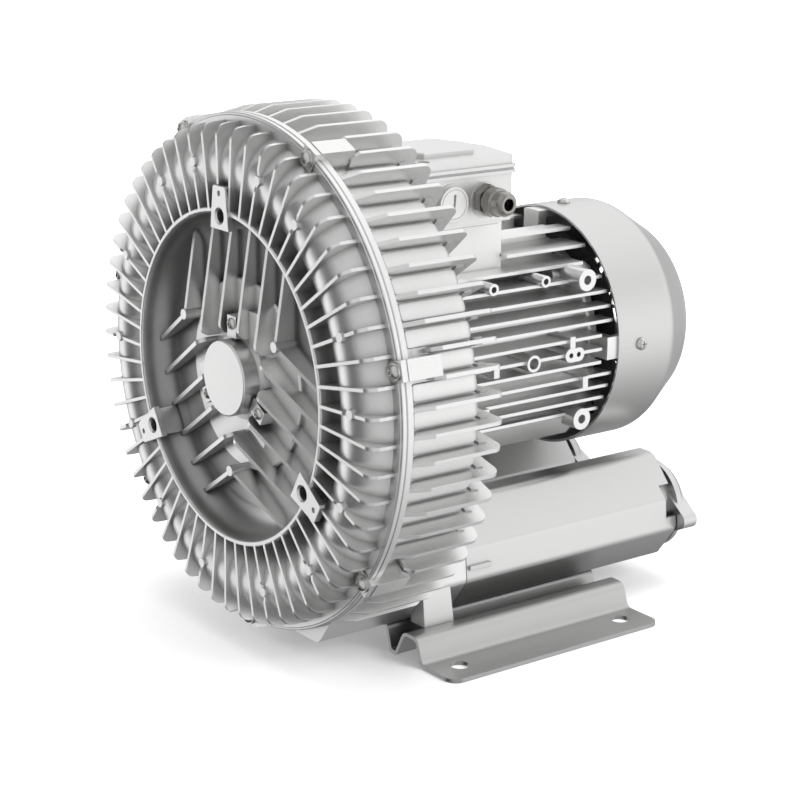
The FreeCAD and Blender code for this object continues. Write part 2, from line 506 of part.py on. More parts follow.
def motor_housing():
    base = ring(STATOR_R, MOTOR_R, MOTOR_Y0, MOTOR_Y1)
    add = [ring(STATOR_R, 91.0, MOTOR_Y0, 106.0)]
    # parallel cooling fins on both sides
    for k in range(-6, 9):
        z = MFIN_PITCH * k
        if abs(z) >= 88: continue
        xe = math.sqrt(MOTOR_FIN_R ** 2 - z * z)
        xs = math.sqrt(max(68.0 ** 2 - z * z, 0.0)) if abs(z) < 68 else 8.0
        if z > 68: xs = 20.0
        if z < -60: continue
        if xe - xs < 3: continue
        for sx in (-1, 1):
            xa, xb = sorted((sx * xs, sx * xe))
            for (ya, yb) in (((106.0, 147.0), (221.0, 288.0)) if z > 66 else ((106.0, 288.0),)):
                add.append(box(xa, xb, ya, yb, z - 1.3, z + 1.3))
            # the fin tips run on over the end shield, up to the cowl
            xo = math.sqrt(max(78.0 ** 2 - (abs(z) - 1.3) ** 2, 0.0)) if abs(z) < 79 else 22.0
            if 44.0 < abs(z) < 68.0: xo = max(xo, 66.0)
            if abs(z) < 12.0 or xe - xo < 3.0: continue
            xa, xb = sorted((sx * xo, sx * xe))
            add.append(box(xa, xb, 280.0, 300.6, z - 1.3, z + 1.3))
    for sx in (-1, 1):
        # lower flat pads
        pad = prism_y((sx * 70.0, -52.0), [(sx * 76.5, -55.5), (sx * 58.5, -75.5), (sx * 45.0, -76.5), (sx * 40.0, -55.0), (sx * 62.0, -48.0)], 180.0, 283.0)
        add.append(pad)
        # side bosses
        for (y, z, r, xe) in ((274.0, 56.0, 8.6, 90.0), (274.0, -56.0, 8.6, 88.0), (187.0, 58.0, 4.6, 83.0), (238.0, 58.0, 4.6, 83.0), (217.0, -1.0, 6.6, 96.0)):
            x0 = 55.0 if abs(z) > 20 else 66.0
            add.append(cyl(r, (sx * x0, y, z), (sx, 0, 0), xe - x0))
        xa, xb = sorted((sx * 66.0, sx * 96.0))
        add.append(prism_x((254.0, -5.5), [(262.0, -5.5), ((267.5, 0.0), (262.0, 5.5)), (254.0, 5.5), ((248.5, 0.0), (254.0, -5.5))], xa, xb))
        for (y, z) in ((256.0, 11.5), (270.0, -22.0), (181.0, -0.5), (172.0, -33.0)):
            xa, xb = sorted((sx * 70.0, sx * 95.5))
            add.append(box(xa, xb, y - 2.6, y + 2.6, z - 6.5, z + 3.0))
    # saddle for the terminal box and the pad for the rating plate
    add.append(box(-BOX_X + 1.0, BOX_X - 1.8, 146.0, 222.0, 60.0, BOX_Z0).cut(cyl(STATOR_R + 1, (0, 140, 0), (0, 1, 0), 90.0)))
    for sx in (-1, 1):
        xa, xb = sorted((sx * 18.0, sx * 22.0))
        add.append(box(xa, xb, 106.0, 288.0, 66.0, 86.9))
    add.append(box(-30, 30, 106.0, 288.0, 60.0, 76.0).cut(cyl(STATOR_R + 1, (0, 100, 0), (0, 1, 0), 190.0)))
    # bosses for the end shield screws
    for a in (45.0, 135.0, 225.0, 315.0):
        add.append(turn(cyl(7.5, (78.0, 262.0, 0), (0, 1, 0), 28.0), a))
        add.append(turn(box(68.0, 78.0, 262.0, 290.0, -5.0, 5.0), a))
    body = fuse(base, add)
    cut = []
    for sx in (-1, 1):
        for (y, z, r, xe, d) in ((274.0, 56.0, 3.6, 90.0, 14), (274.0, -56.0, 3.6, 88.0, 14), (187.0, 58.0, 2.4, 83.0, 12), (238.0, 58.0, 2.4, 83.0, 12), (217.0, -1.0, 4.4, 96.0, 16)):
            cut.append(cyl(r, (sx * (xe + 1), y, z), (-sx, 0, 0), d + 1))
        for y in (254.2, 261.8):
            cut.append(cyl(2.0, (sx * 97.0, y, 0), (-sx, 0, 0), 12))
    cut.append(cyl(13.0, (0, 187.0, 55.0), (0, 0, 1), 60.0))
    for i in range(4):
        a = 45.0 + 90.0 * i
        cut.append(turn(cyl(4.3, (80.0, 95.0, 0), (0, 1, 0), 12.0), a))
        cut.append(turn(cyl(8.6, (80.0, 106.0, 0), (0, 1, 0), 12.0), a))
        cut.append(turn(cyl(2.55, (78.0, 270.0, 0), (0, 1, 0), 21.0), a))
    for (x, y) in BOX_SCREWS:
        cut.append(cyl(2.55, (x, y, 88.0), (0, 0, 1), 15.0))
    cut.append(cyl(STATOR_R, (0, 90, 0), (0, 1, 0), 210.0))
    return body.cut(Part.makeCompound(cut)).removeSplitter()

def stator_core():
    s = ring(STATOR_BORE, STATOR_R - 0.02, CORE_Y0, CORE_Y1)
    slots = []
    for i in range(24):
        p = prism_y((40.0, -1.2), [(44.0, -1.2), (45.0, -2.6), (56.0, -4.1), ((57.5, 0.0), (56.0, 4.1)), (45.0, 2.6), (44.0, 1.2), (40.0, 1.2)], CORE_Y0 - 1, CORE_Y1 + 1)
        slots.append(turn(p, 15.0 * i))
    return s.cut(Part.makeCompound(slots)).removeSplitter()

def windings():
    r = []
    for (ya, yb, s) in ((CORE_Y0 - 26.0, CORE_Y0, -1), (CORE_Y1, CORE_Y1 + 26.0, 1)):
        ym, yo = (yb, ya) if s < 0 else (ya, yb)
        r.append(rev((45.5, ym), [(56.0, ym), (60.0, ym + s * 6), (61.0, ym + s * 14), ((58.0, ym + s * 24), (52.0, yo)), ((46.5, ym + s * 23), (45.0, ym + s * 14)), (45.0, ym + s * 5)]))
    bars = []
    for i in range(24):
        p = prism_y((45.8, -2.4), [(55.6, -3.7), ((56.8, 0.0), (55.6, 3.7)), (45.8, 2.4)], CORE_Y0 - 2, CORE_Y1 + 2)
        bars.append(turn(p, 15.0 * i))
    return fuse(r[0], [r[1]] + bars)

def end_shield():
    s = rev((BRG_O + 0.02, BRG_R_Y), [(34.0, BRG_R_Y), (36.0, 290.0), (74.5, 290.0), (76.0, 291.5), (76.0, 297.5), (74.5, 299.0), (40.0, 299.0), (34.0, 305.0), (14.5, 305.0), (14.5, 301.5), (BRG_O + 0.02, 301.5)])
    s = s.fuse(ring(60.0, STATOR_R - 0.03, 284.5, 291.0))
    add = []
    for i in range(8):
        add.append(turn(plate((33.0, 298.0), [(74.0, 298.0), (70.0, 302.0), (38.0, 304.0)], 3.2), 22.5 + 45.0 * i))
    for a in (45.0, 135.0, 225.0, 315.0):
        add.append(turn(cyl(7.6, (78.0, 290.0, 0), (0, 1, 0), 9.0), a))
    for k in range(4):
        add.append(turn(box(72.0, 97.5, 291.0, 299.0, -9.0, 9.0), 90.0 * k))
        add.append(turn(box(90.2, 97.5, 291.0, 334.0, -9.0, 9.0), 90.0 * k))
    s = fuse(s, add)
    cut = []
    for a in (45.0, 135.0, 225.0, 315.0):
        cut.append(turn(cyl(2.8, (78.0, 280.0, 0), (0, 1, 0), 30.0), a))
    for k in range(4):
        cut.append(turn(cyl(2.05, (88.0, 325.0, 0), (1, 0, 0), 12.0), 90.0 * k))
    s = s.cut(Part.makeCompound(cut))
    return s.common(ring(0, COWL_R - 1.8, 270.0, 340.0)).removeSplitter()

def cooling_fan():
    s = rev((10.0, 308.0), [(17.0, 308.0), (17.0, 330.0), (52.0, 316.0), (78.0, 313.0), (78.0, 315.5), (52.0, 319.0), (20.0, 335.0), (16.0, 342.9), (10.0, 342.9)])
    bl = []
    for i in range(9):
        b = plate((24.0, 329.0), [(50.0, 317.0), (77.5, 314.0), (84.0, 330.0), (82.0, 352.0), (46.0, 352.0), (30.0, 336.0)], 2.4)
        bl.append(turn(b, 40.0 * i))
    return fuse(s, bl)

def fan_cowl():
    t = 1.8
    s = rev((COWL_R, COWL_Y0), [(COWL_R, 354.0), ((97.4, 359.5), (95.0, 364.0)), (79.5, 389.5), ((75.0, 396.0), (67.0, COWL_Y1)), (0, COWL_Y1),
                               (0, COWL_Y1 - t), (66.4, COWL_Y1 - t), ((73.6, 394.6), (78.0, 388.5)), (93.4, 363.2), ((95.6, 359.0), (COWL_R - t, 354.0)), (COWL_R - t, COWL_Y0)])
    cut = []
    # intake grille of the rear face: rings of slots
    for (r0, r1, n, gap) in ((14, 19, 6, 8.0), (23, 28, 9, 7.0), (32, 37, 12, 6.0), (41, 46, 15, 5.0), (50, 55, 18, 4.5)):
        for i in range(n):
            span = 360.0 / n - gap * 0.9 * 19.0 / r1 - 3.0
            w = rev((r0, COWL_Y1 - 4), [(r1, COWL_Y1 - 4), (r1, COWL_Y1 + 2), (r0, COWL_Y1 + 2)], span, 360.0 / n * i + (7 if n % 2 else 0))
            cut.append(w)
    for k in range(4):
        cut.append(turn(cyl(2.3, (90.0, 325.0, 0), (1, 0, 0), 12.0), 90.0 * k))
    return s.cut(Part.makeCompound(cut)).removeSplitter()

# ---------------------------------------------------------------- terminal box
def bow_outline(off, y0=BOX_Y0, y1=BOX_Y1, bow=BOX_BOW, r=3.0):
    """outline of the box in (x, y), grown by off; the rear edge runs out to a shallow peak"""
    x = BOX_X + off; a = y0 - off; b = y1 + off; r = max(r + off, 1.0); k = r * (1 - math.sqrt(0.5))
    return (-x + r, a), [(x - r, a), ((x - k, a + k), (x, a + r)), (x, b - r), ((x - k, b - k + 0.3), (x - r, b + 0.6)),
                         (0.0, b + bow), (-x + r, b + 0.6), ((-x + k, b - k + 0.3), (-x, b - r)), (-x, a + r), ((-x + k, a + k), (-x + r, a))]

BOX_SCREWS = [(-34.0, 161.0), (34.0, 161.0), (-34.0, 211.0), (34.0, 211.0)]
LID_SCREWS = [(41.0, 151.0), (-41.0, 223.0)]

def terminal_box():
    s = prism_z(*bow_outline(0), BOX_Z0, BOX_Z1)
    s = s.fuse(prism_z(*bow_outline(2.5), BOX_Z1 - 2.5, BOX_Z1))
    s = s.cut(prism_z(*bow_outline(-3.5), BOX_Z0 + 4.0, BOX_Z1 + 1))
    add = []
    for (x, y) in BOX_SCREWS:
        add.append(cyl(5.5, (x, y, BOX_Z0 + 3), (0, 0, 1), 4.0))
    for (x, y) in LID_SCREWS:
        add.append(cyl(5.0, (x, y, BOX_Z0 + 3), (0, 0, 1), BOX_Z1 - BOX_Z0 - 3.0))
    for (x, y) in ((-20.0, 187.0), (20.0, 187.0)):
        add.append(cyl(4.5, (x, y, BOX_Z0 + 3), (0, 0, 1), 5.0))
    # spot faces around the two cable entries
    add.append(cyl(15.0, (BOX_X - 3.5, PLUG_Y, ENTRY_Z), (1, 0, 0), 4.3))
    add.append(cyl(13.6, (BOX_X - 3.5, GLAND_Y, ENTRY_Z), (1, 0, 0), 4.3))
    s = fuse(s, add)
    cut = [cyl(13.0, (0, 187.0, 100.0), (0, 0, 1), 8.0), cyl(10.05, (BOX_X - 6, PLUG_Y, ENTRY_Z), (1, 0, 0), 12.0), cyl(8.05, (BOX_X - 6, GLAND_Y, ENTRY_Z), (1, 0, 0), 12.0)]
    for (x, y) in BOX_SCREWS:
        cut.append(cyl(2.8, (x, y, 100.0), (0, 0, 1), 12.0))
    for (x, y) in LID_SCREWS:
        cut.append(cyl(2.05, (x, y, 118.0), (0, 0, 1), 25.0))
    for (x, y) in ((-20.0, 187.0), (20.0, 187.0)):
        cut.append(cyl(1.8, (x, y, 104.0), (0, 0, 1), 8.0))
    return s.cut(Part.makeCompound(cut)).removeSplitter()

def box_gasket():
    s = prism_z(*bow_outline(1.6), BOX_Z1, BOX_Z1 + 2.0).cut(prism_z(*bow_outline(-3.2), BOX_Z1 - 1, BOX_Z1 + 3.0))
    for (x, y) in LID_SCREWS:
        s = s.fuse(cyl(5.0, (x, y, BOX_Z1), (0, 0, 1), 2.0))
    for (x, y) in LID_SCREWS:
        s = s.cut(cyl(2.3, (x, y, BOX_Z1 - 1), (0, 0, 1), 4.0))
    return s.removeSplitter()

def box_lid():
    z0 = BOX_Z1 + 2.0
    s = prism_z(*bow_outline(2.5), z0, z0 + 2.5)
    s = s.fuse(prism_z(*bow_outline(0), z0, LID_Z))
    plat = prism_z((30.0, 160.0), [(24.0, 156.0), (-24.0, 156.0), (-30.0, 160.0), (-30.0, 207.0), (-5.0, 221.0), (5.0, 221.0), (30.0, 207.0)], LID_Z - 1, LID_Z + 4.3)
    s = s.fuse(plat).removeSplitter()
    # soft the upper edges
    try:
        ed = [e for e in s.Edges if abs(e.BoundBox.ZMin - (LID_Z + 4.3)) < 1e-3 and abs(e.BoundBox.ZMax - (LID_Z + 4.3)) < 1e-3]
        s = s.makeChamfer(1.0, ed)
    except Exception as err:
        print("lid platform edge left sharp", err)
    s = s.cut(prism_z(*bow_outline(-3.5), z0 - 1, LID_Z - 3.5))
    add = []
    for (x, y) in LID_SCREWS:
        add.append(cyl(5.0, (x, y, z0), (0, 0, 1), LID_Z - z0 - 1.0))
    s = fuse(s, add)
    cut = []
    for (x, y) in LID_SCREWS:
        cut.append(cyl(2.3, (x, y, z0 - 1), (0, 0, 1), 14.0))
        cut.append(cyl(4.6, (x, y, LID_Z - 3.4), (0, 0, 1), 6.0))
    return s.cut(Part.makeCompound(cut)).removeSplitter()

def terminal_parts():
    board = box(-26, 26, 168.0, 206.0, 110.0, 117.0)
    posts = [box(-26, 26, 185.5, 188.5, 116.0, 118.3)]
    for x in (-17.3, 0.0, 17.3):
        for y in (177.0, 197.0):
            posts.append(cyl(6.2, (x, y, 116.0), (0, 0, 1), 2.5))
    board = fuse(board, posts)
    holes = []
    for x in (-17.3, 0.0, 17.3):
        for y in (177.0, 197.0):
            holes.append(cyl(2.5, (x, y, 109.0), (0, 0, 1), 12.0))
    for x in (-20.0, 20.0):
        holes.append(cyl(1.8, (x, 187.0, 109.0), (0, 0, 1), 14.0))
    board = board.cut(Part.makeCompound(holes)).removeSplitter()
    studs, links = [], []
    for x in (-17.3, 0.0, 17.3):
        for y in (177.0, 197.0):
            studs.append(cyl(2.48, (x, y, 110.5), (0, 0, 1), 24.0))
            n = hexp(8.0, (x, y, 120.1), (0, 0, 1), 4.0).cut(cyl(2.5, (x, y, 119.0), (0, 0, 1), 6.0))
            studs.append(n)
    for x in (-17.3, 0.0, 17.3):
        l = box(x - 4.5, x + 4.5, 171.5, 202.5, 118.6, 120.0)
        for y in (177.0, 197.0):
            l = l.cut(cyl(2.6, (x, y, 118.0), (0, 0, 1), 3.0))
        links.append(l)
    return board, studs, links

def gland_parts():
    d = (1, 0, 0)
    x0 = BOX_X + 0.8
    body = hexp(22.0, (x0, GLAND_Y, ENTRY_Z), d, 7.0).fuse([cyl(9.3, (x0 + 6.5, GLAND_Y, ENTRY_Z), d, 10.0), cyl(8.0, (x0 - 13.0, GLAND_Y, ENTRY_Z), d, 14.0)])
    body = body.cut(cyl(5.6, (x0 - 14.0, GLAND_Y, ENTRY_Z), d, 32.0)).removeSplitter()
    # dome nut with gripping facets, running to a rounded nose
    w = Part.Wire([Part.makeLine(V(9.35, 0, 0), V(11.2, 0, 0)), Part.makeLine(V(11.2, 0, 0), V(11.2, 0, 9.6)), Part.makeLine(V(11.2, 0, 9.6), V(9.9, 0, 11.2)),
                   Part.makeLine(V(9.9, 0, 11.2), V(9.6, 0, 16.0)), Part.Arc(V(9.6, 0, 16.0), V(8.8, 0, 19.4), V(6.4, 0, 21.0)).toShape(), Part.makeLine(V(6.4, 0, 21.0), V(4.4, 0, 21.0)),
                   Part.makeLine(V(4.4, 0, 21.0), V(4.4, 0, 19.0)), Part.Arc(V(4.4, 0, 19.0), V(8.6, 0, 15.0), V(9.35, 0, 10.5)).toShape(),
                   Part.makeLine(V(9.35, 0, 10.5), V(9.35, 0, 0))])
    nut = Part.Face(w).revolve(V(0, 0, 0), V(0, 0, 1), 360)
    nut = along(nut, (x0 + 7.2, GLAND_Y, ENTRY_Z), d)
    seal = cyl(5.5, (x0 + 8.0, GLAND_Y, ENTRY_Z), d, 12.0).cut(cyl(4.3, (x0 + 7.0, GLAND_Y, ENTRY_Z), d, 14.0))
    seal = seal.fuse(cyl(8.4, (x0 + 16.7, GLAND_Y, ENTRY_Z), d, 2.6).cut(cyl(4.3, (x0 + 7.0, GLAND_Y, ENTRY_Z), d, 14.0))).removeSplitter()
    lock = hexp(22.0, (BOX_X - 8.7, GLAND_Y, ENTRY_Z), d, 5.0).cut(cyl(8.05, (BOX_X - 10, GLAND_Y, ENTRY_Z), d, 8.0))
    plug = cyl(13.2, (BOX_X + 0.8, PLUG_Y, ENTRY_Z), d, 3.4).fuse(cyl(10.0, (BOX_X - 7.0, PLUG_Y, ENTRY_Z), d, 8.0))
    plug = plug.cut(cyl(11.6, (BOX_X + 3.7, PLUG_Y, ENTRY_Z), d, 2.0))
    plug = plug.fuse(cyl(11.0, (BOX_X + 2.0, PLUG_Y, ENTRY_Z), d, 2.2))
    sl = Part.makeBox(4.0, 2.0, 15.0, V(BOX_X + 1.4, PLUG_Y - 1.0, ENTRY_Z - 7.5))
    sl.rotate(V(BOX_X, PLUG_Y, ENTRY_Z), V(1, 0, 0), -5.5)
    plug = plug.cut(sl).removeSplitter()
    return body, nut, seal, lock, plug

# ---------------------------------------------------------------- silencers and feet
def silencer(sx):
    cx = sx * TUBE_X
    s = sec_prism(cx, TUBE_Y0 + 0.6, TUBE_Y1).cut(sec_prism(cx, TUBE_Y0, TUBE_Y1 + 1, 3.2))
    # spigot that locates in the duct, end wall, floor boss
    s = s.fuse([sec_prism(cx, 142.0, 152.0, 5.2).cut(sec_prism(cx, 140.0, 153.0, 8.0)), sec_prism(cx, 150.6, 153.6, 3.0).cut(sec_prism(cx, 150.0, 154.0, 8.0)),
                sec_prism(cx, 352.0, 357.0, 3.0), cyl(9.0, (sx * 60.0, 285.0, -190.0), (0, 0, 1), 9.0)])
    xa, xb = sorted((sx * (TUBE_X + 37.0), sx * (TUBE_X + 41.2)))
    s = s.fuse(box(xa, xb, 152.6, 173.0, -152.5, -149.0)).removeSplitter()
    xa, xb = sorted((sx * (TUBE_X + 15.0), sx * (TUBE_X + 44.0)))
    cut = [cyl(34.02, (cx, 350.0, TUBE_Z), (0, 1, 0), 10.0), cyl(4.05, (sx * 60.0, 285.0, -191.0), (0, 0, 1), 9.4), box(xa, xb, 357.6, 372.0, -151.0, -126.0)]
    return s.cut(Part.makeCompound(cut)).removeSplitter()

def silencer_core(sx):
    cx = sx * TUBE_X
    s = cyl(30.0, (cx, 154.0, TUBE_Z), (0, 1, 0), 197.5).cut(cyl(28.8, (cx, 153.0, TUBE_Z), (0, 1, 0), 200.0))
    holes = []
    for j in range(9):
        for i in range(6):
            a = math.radians(30.0 * i + (15.0 if j % 2 else 0.0))
            d = (math.cos(a), 0, math.sin(a))
            holes.append(cyl(4.0, (cx - 33 * d[0], 168.0 + 20.0 * j, TUBE_Z - 33 * d[2]), d, 66.0))
    return s.cut(Part.makeCompound(holes)).removeSplitter()

def silencer_foam(sx):
    cx = sx * TUBE_X
    s = sec_prism(cx, 156.0, 350.0, 3.6).cut(cyl(30.2, (cx, 150.0, TUBE_Z), (0, 1, 0), 210.0))
    return s.cut(cyl(9.6, (sx * 60.0, 285.0, -192.0), (0, 0, 1), 14.0)).removeSplitter()

def port_flange(sx):
    cx = sx * TUBE_X
    tips = [(cx + sx * 41.5, TUBE_Z - 5.0), (cx - sx * 41.5, TUBE_Z + 5.0)]
    s = cyl(37.4, (cx, 372.0, TUBE_Z), (0, 1, 0), 5.0).fuse(Part.makeCone(37.4, 33.0, PORT_Y1 + 2 - 377.0, V(cx, 377.0, TUBE_Z), V(0, 1, 0)))
    add = [cyl(34.0, (cx, 352.0, TUBE_Z), (0, 1, 0), 5.4), cyl(31.0, (cx, 356.0, TUBE_Z), (0, 1, 0), 27.0)]
    for (x, z) in tips:
        dx, dz = x - cx, z - TUBE_Z; L = math.hypot(dx, dz)
        add.append(cyl(7.2, (x, 368.8, z), (0, 1, 0), 14.2))
        # the two tangent lines between tip and middle circle
        r1, r2 = 29.0, 7.2
        al = math.acos((r1 - r2) / L); t0 = math.atan2(dz, dx)
        pts = []
        for sg in (1, -1):
            a = t0 + sg * al
            pts.append(((cx + r1 * math.cos(a), TUBE_Z + r1 * math.sin(a)), (x + r2 * math.cos(a), z + r2 * math.sin(a))))
        pr = prism_y(pts[0][0], [pts[0][1], pts[1][1], pts[1][0]], 368.8, 383.0)
        add.append(pr)
    s = fuse(s, add)
    cut = [cyl(PORT_BORE, (cx, 345.0, TUBE_Z), (0, 1, 0), 45.0), Part.makeCone(PORT_BORE, PORT_BORE + 2.0, 2.0, V(cx, 381.01, TUBE_Z), V(0, 1, 0))]
    for (x, z) in tips:
        cut.append(cyl(3.4, (x, 371.0, z), (0, 1, 0), 14.0))
    return s.cut(Part.makeCompound(cut)).removeSplitter()

def sheet(P, R, t):
    """closed outline of a bent sheet of thickness t along the centre line P; R holds the bend radii of the inner points"""
    def side(sg):
        o = sg * t / 2.0
        n = len(P); path = []
        for i in range(n):
            if i in (0, n - 1):
                a, b = (P[0], P[1]) if i == 0 else (P[-2], P[-1])
                L = math.hypot(b[0] - a[0], b[1] - a[1]); nx, ny = -(b[1] - a[1]) / L, (b[0] - a[0]) / L
                path.append((P[i][0] + nx * o, P[i][1] + ny * o)); continue
            p0, p, p1 = P[i - 1], P[i], P[i + 1]
            def un(a, b):
                L = math.hypot(b[0] - a[0], b[1] - a[1]); return ((b[0] - a[0]) / L, (b[1] - a[1]) / L)
            d0, d1 = un(p0, p), un(p, p1)
            cr = d0[0] * d1[1] - d0[1] * d1[0]
            th = math.acos(max(-1, min(1, d0[0] * d1[0] + d0[1] * d1[1])))
            tl = R[i - 1] * math.tan(th / 2)
            s = 1 if cr > 0 else -1                      # 1: turns left, centre on the left
            A = (p[0] - d0[0] * tl, p[1] - d0[1] * tl)
            n0 = (-d0[1] * s, d0[0] * s)
            C = (A[0] + n0[0] * R[i - 1], A[1] + n0[1] * R[i - 1])
            rr = R[i - 1] - s * o
            a0 = math.atan2(-n0[1], -n0[0]); a1 = a0 + s * th
            pt = lambda a: (C[0] + rr * math.cos(a), C[1] + rr * math.sin(a))
            path.append(pt(a0)); path.append((pt((a0 + a1) / 2), pt(a1)))
        return path
    left, right = side(1), side(-1)
    # walk the left side forwards, the right side backwards
    start = left[0]
    segs = list(left[1:])
    # reverse of the right side
    flat = []
    cur = None
    pts = []
    for q in right:
        if isinstance(q[0], tuple):
            pts.append(("arc", q[0], q[1]))
        else:
            pts.append(("line", None, q))
    rev_s = [pts[-1][2]]
    for j in range(len(pts) - 1, 0, -1):
        kind, mid, end = pts[j]
        prev = pts[j - 1][2]
        if kind == "arc":
            rev_s.append((mid, prev))
        else:
            rev_s.append(prev)
    segs += rev_s
    return start, segs

def foot(sx):
    P = [(159.0, -210.5), (120.0, -210.5), (113.5, -191.5), (98.0, -191.5), (88.0, -210.5), (81.0, -210.5), (75.5, -191.5), (46.0, -191.5)]
    st, sg = sheet(P, [7.0, 6.5, 7.0, 3.0, 3.0, 4.0], 3.0)
    if sx < 0:
        m = lambda p: (-p[0], p[1])
        st = m(st); sg = [((m(q[0]), m(q[1])) if isinstance(q[0], tuple) else m(q)) for q in sg]
    s = prism_y(st, sg, 94.0, 300.0)
    # rounded outer corners
    k = 10.0
    for (y, sy) in ((94.0, 1), (300.0, -1)):
        xa, xb = sorted((sx * 149.0, sx * 160.0)); ya, yb = sorted((y - sy * 1.0, y + sy * k))
        c = box(xa, xb, ya, yb, -213.0, -206.0).cut(cyl(k, (sx * 149.0, y + sy * k, -214.0), (0, 0, 1), 10.0))
        s = s.cut(c)
    for y in (PATTERN_Y - HOLE_DY, PATTERN_Y + HOLE_DY):
        s = s.cut(cyl(HOLE_R, (sx * HOLE_DX, y, -214.0), (0, 0, 1), 8.0))
    for y in (122.0, 285.0):
        s = s.cut(cyl(4.5, (sx * 60.0, y, -195.0), (0, 0, 1), 6.0))
    return s.removeSplitter()

# ---------------------------------------------------------------- build
def rot45(i):
    return 45.0 + 90.0 * i

out("front_cover", front_cover())
out("rear_housing", rear_housing())
out("clamp_screws", at_clamp(button_screw(6.0, 27.0, 5.15, 3.4), 17.9))
out("clamp_washers", at_clamp(Part.makeCylinder(6.3, 1.6).cut(Part.makeCylinder(3.25, 3.0, V(0, 0, -1))), 19.5))
out("hub_screws", [along(button_screw(5.0, 13.0, 4.4, 2.8), polar(40.5, g, 7.0), (0, -1, 0)) for g in (90.0, 210.0, 330.0)])

out("impeller", impeller())
out("impeller_bolt", along(hex_bolt(8.0, 24.0, 13.0, 5.3), (0, 11.0, 0), (0, -1, 0)))
out("impeller_washer", ring(4.4, 15.0, 11.0, 14.0))
out("impeller_key", box(-3.95, 3.95, 20.5, 47.5, 8.05, 15.2))
out("bearing_spacer", ring(12.02, 18.0, 51.7, 61.9))
lip = rev((22.0, 42.2), [(32.0, 42.2), (32.0, 50.0), (22.0, 50.0), (22.0, 48.0), (20.05, 46.0), (20.05, 45.2), (21.0, 44.6), (22.0, 43.6)])
out("shaft_seal", lip)
out("motor_shaft", motor_shaft())
out("rotor_core", ring(16.0, ROTOR_R, CORE_Y0, CORE_Y1))
er = []
for (ya, yb, s) in ((CORE_Y0 - 9.0, CORE_Y0, -1), (CORE_Y1, CORE_Y1 + 9.0, 1)):
    e = ring(26.0, ROTOR_R - 0.6, ya, yb)
    y0, y1 = (ya - 9.0, ya + 1.0) if s < 0 else (yb - 1.0, yb + 9.0)
    bl = [turn(box(29.0, 39.0, y0, y1, -1.2, 1.2), 30.0 * i) for i in range(12)]
    er.append(fuse(e, bl))
out("rotor_end_rings", er)
for (nm, y) in (("front", BRG_F_Y), ("rear", BRG_R_Y)):
    o, i_, balls, cage = bearing(y)
    out(nm + "_bearing_outer", o)
    out(nm + "_bearing_inner", i_)
    out(nm + "_bearing_balls", balls)
    out(nm + "_bearing_cage", cage)
cl = ring(22.8, 27.3, 77.4, 78.9).cut(rev((0.0, 77.0), [(30.0, 77.0), (30.0, 79.2), (0.0, 79.2)], 26.0, 103.0))
cl = cl.fuse([turn(cyl(2.6, (22.6, 77.4, 0), (0, 1, 0), 1.5), a) for a in (110.0, 70.0)])
cl = cl.cut(Part.makeCompound([turn(cyl(1.1, (22.4, 77.0, 0), (0, 1, 0), 3.0), a) for a in (110.0, 70.0)])).removeSplitter()
out("bearing_circlip", cl)
out("wave_spring", ring(19.6, 25.6, 298.05, 301.4))
out("stator_core", stator_core())
out("stator_windings", windings())
out("motor_housing", motor_housing())
def cap_screw(d, L, hr, hh, af):
    s = Part.makeCylinder(hr, hh).fuse(Part.makeCylinder(d / 2.0, L + 0.1, V(0, 0, -L)))
    return s.cut(hexp(af, (0, 0, hh * 0.45), (0, 0, 1), hh)).removeSplitter()
out("motor_flange_screws", [along(cap_screw(8.0, 26.0, 6.5, 8.0, 6.0), polar(80.0, rot45(i), 106.0), (0, 1, 0)) for i in range(4)])
out("rear_end_shield", end_shield())
out("shield_screws", [along(cap_screw(5.0, 24.0, 4.25, 5.0, 4.0), polar(78.0, rot45(i), 299.0), (0, 1, 0)) for i in range(4)])
out("cooling_fan", cooling_fan())
fc = ring(9.25, 13.2, 343.25, 344.65).cut(turn(box(5.0, 16.0, 343.0, 345.0, -4.0, 4.0), 40.0))
out("fan_circlip", fc)
out("fan_cowl", fan_cowl())
out("cowl_screws", [along(pan_screw(4.0, 6.5, 5.2, 3.2), (COWL_R * math.cos(math.radians(90.0 * k)), 325.0, COWL_R * math.sin(math.radians(90.0 * k))),
                          (math.cos(math.radians(90.0 * k)), 0, math.sin(math.radians(90.0 * k)))) for k in range(4)])

out("terminal_box", terminal_box())
out("box_screws", [along(cap_screw(5.0, 15.0, 4.25, 5.0, 4.0), (x, y, BOX_Z0 + 7.0), (0, 0, 1)) for (x, y) in BOX_SCREWS])
out("box_gasket", box_gasket())
out("box_lid", box_lid())
out("lid_screws", [along(pan_screw(4.0, 20.0, 4.0, 2.9), (x, y, LID_Z - 3.4), (0, 0, 1)) for (x, y) in LID_SCREWS])
board, studs, links = terminal_parts()
out("terminal_board", board)
out("terminal_studs", studs)
out("terminal_links", links)
gb, gn, gs, gl, plug = gland_parts()
out("gland_body", gb)
out("gland_nut", gn)
out("gland_seal", gs)
out("gland_locknut", gl)
out("blanking_plug", plug)
rp = prism_x(*rrect(73.0, 33.0, 2.5, 184.0, 83.5), BOX_X - 1.8, BOX_X - 1.0)
out("rating_plate", rp)

for (nm, sx) in (("right", 1), ("left", -1)):
    out(nm + "_silencer", silencer(sx))
    out(nm + "_silencer_core", silencer_core(sx))
    out(nm + "_silencer_foam", silencer_foam(sx))
    out(nm + "_port_flange", port_flange(sx))
    out(nm + "_foot", foot(sx))
out("foot_bolts", [along(hex_bolt(8.0, L, 13.0, 5.3), (sx * 60.0, y, -193.0), (0, 0, -1)) for sx in (-1, 1) for (y, L) in ((122.0, 15.0), (285.0, 10.5))])
print("nodes", len(NODES))
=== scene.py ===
import bpy, bmesh, json, math
from mathutils import Vector, Matrix


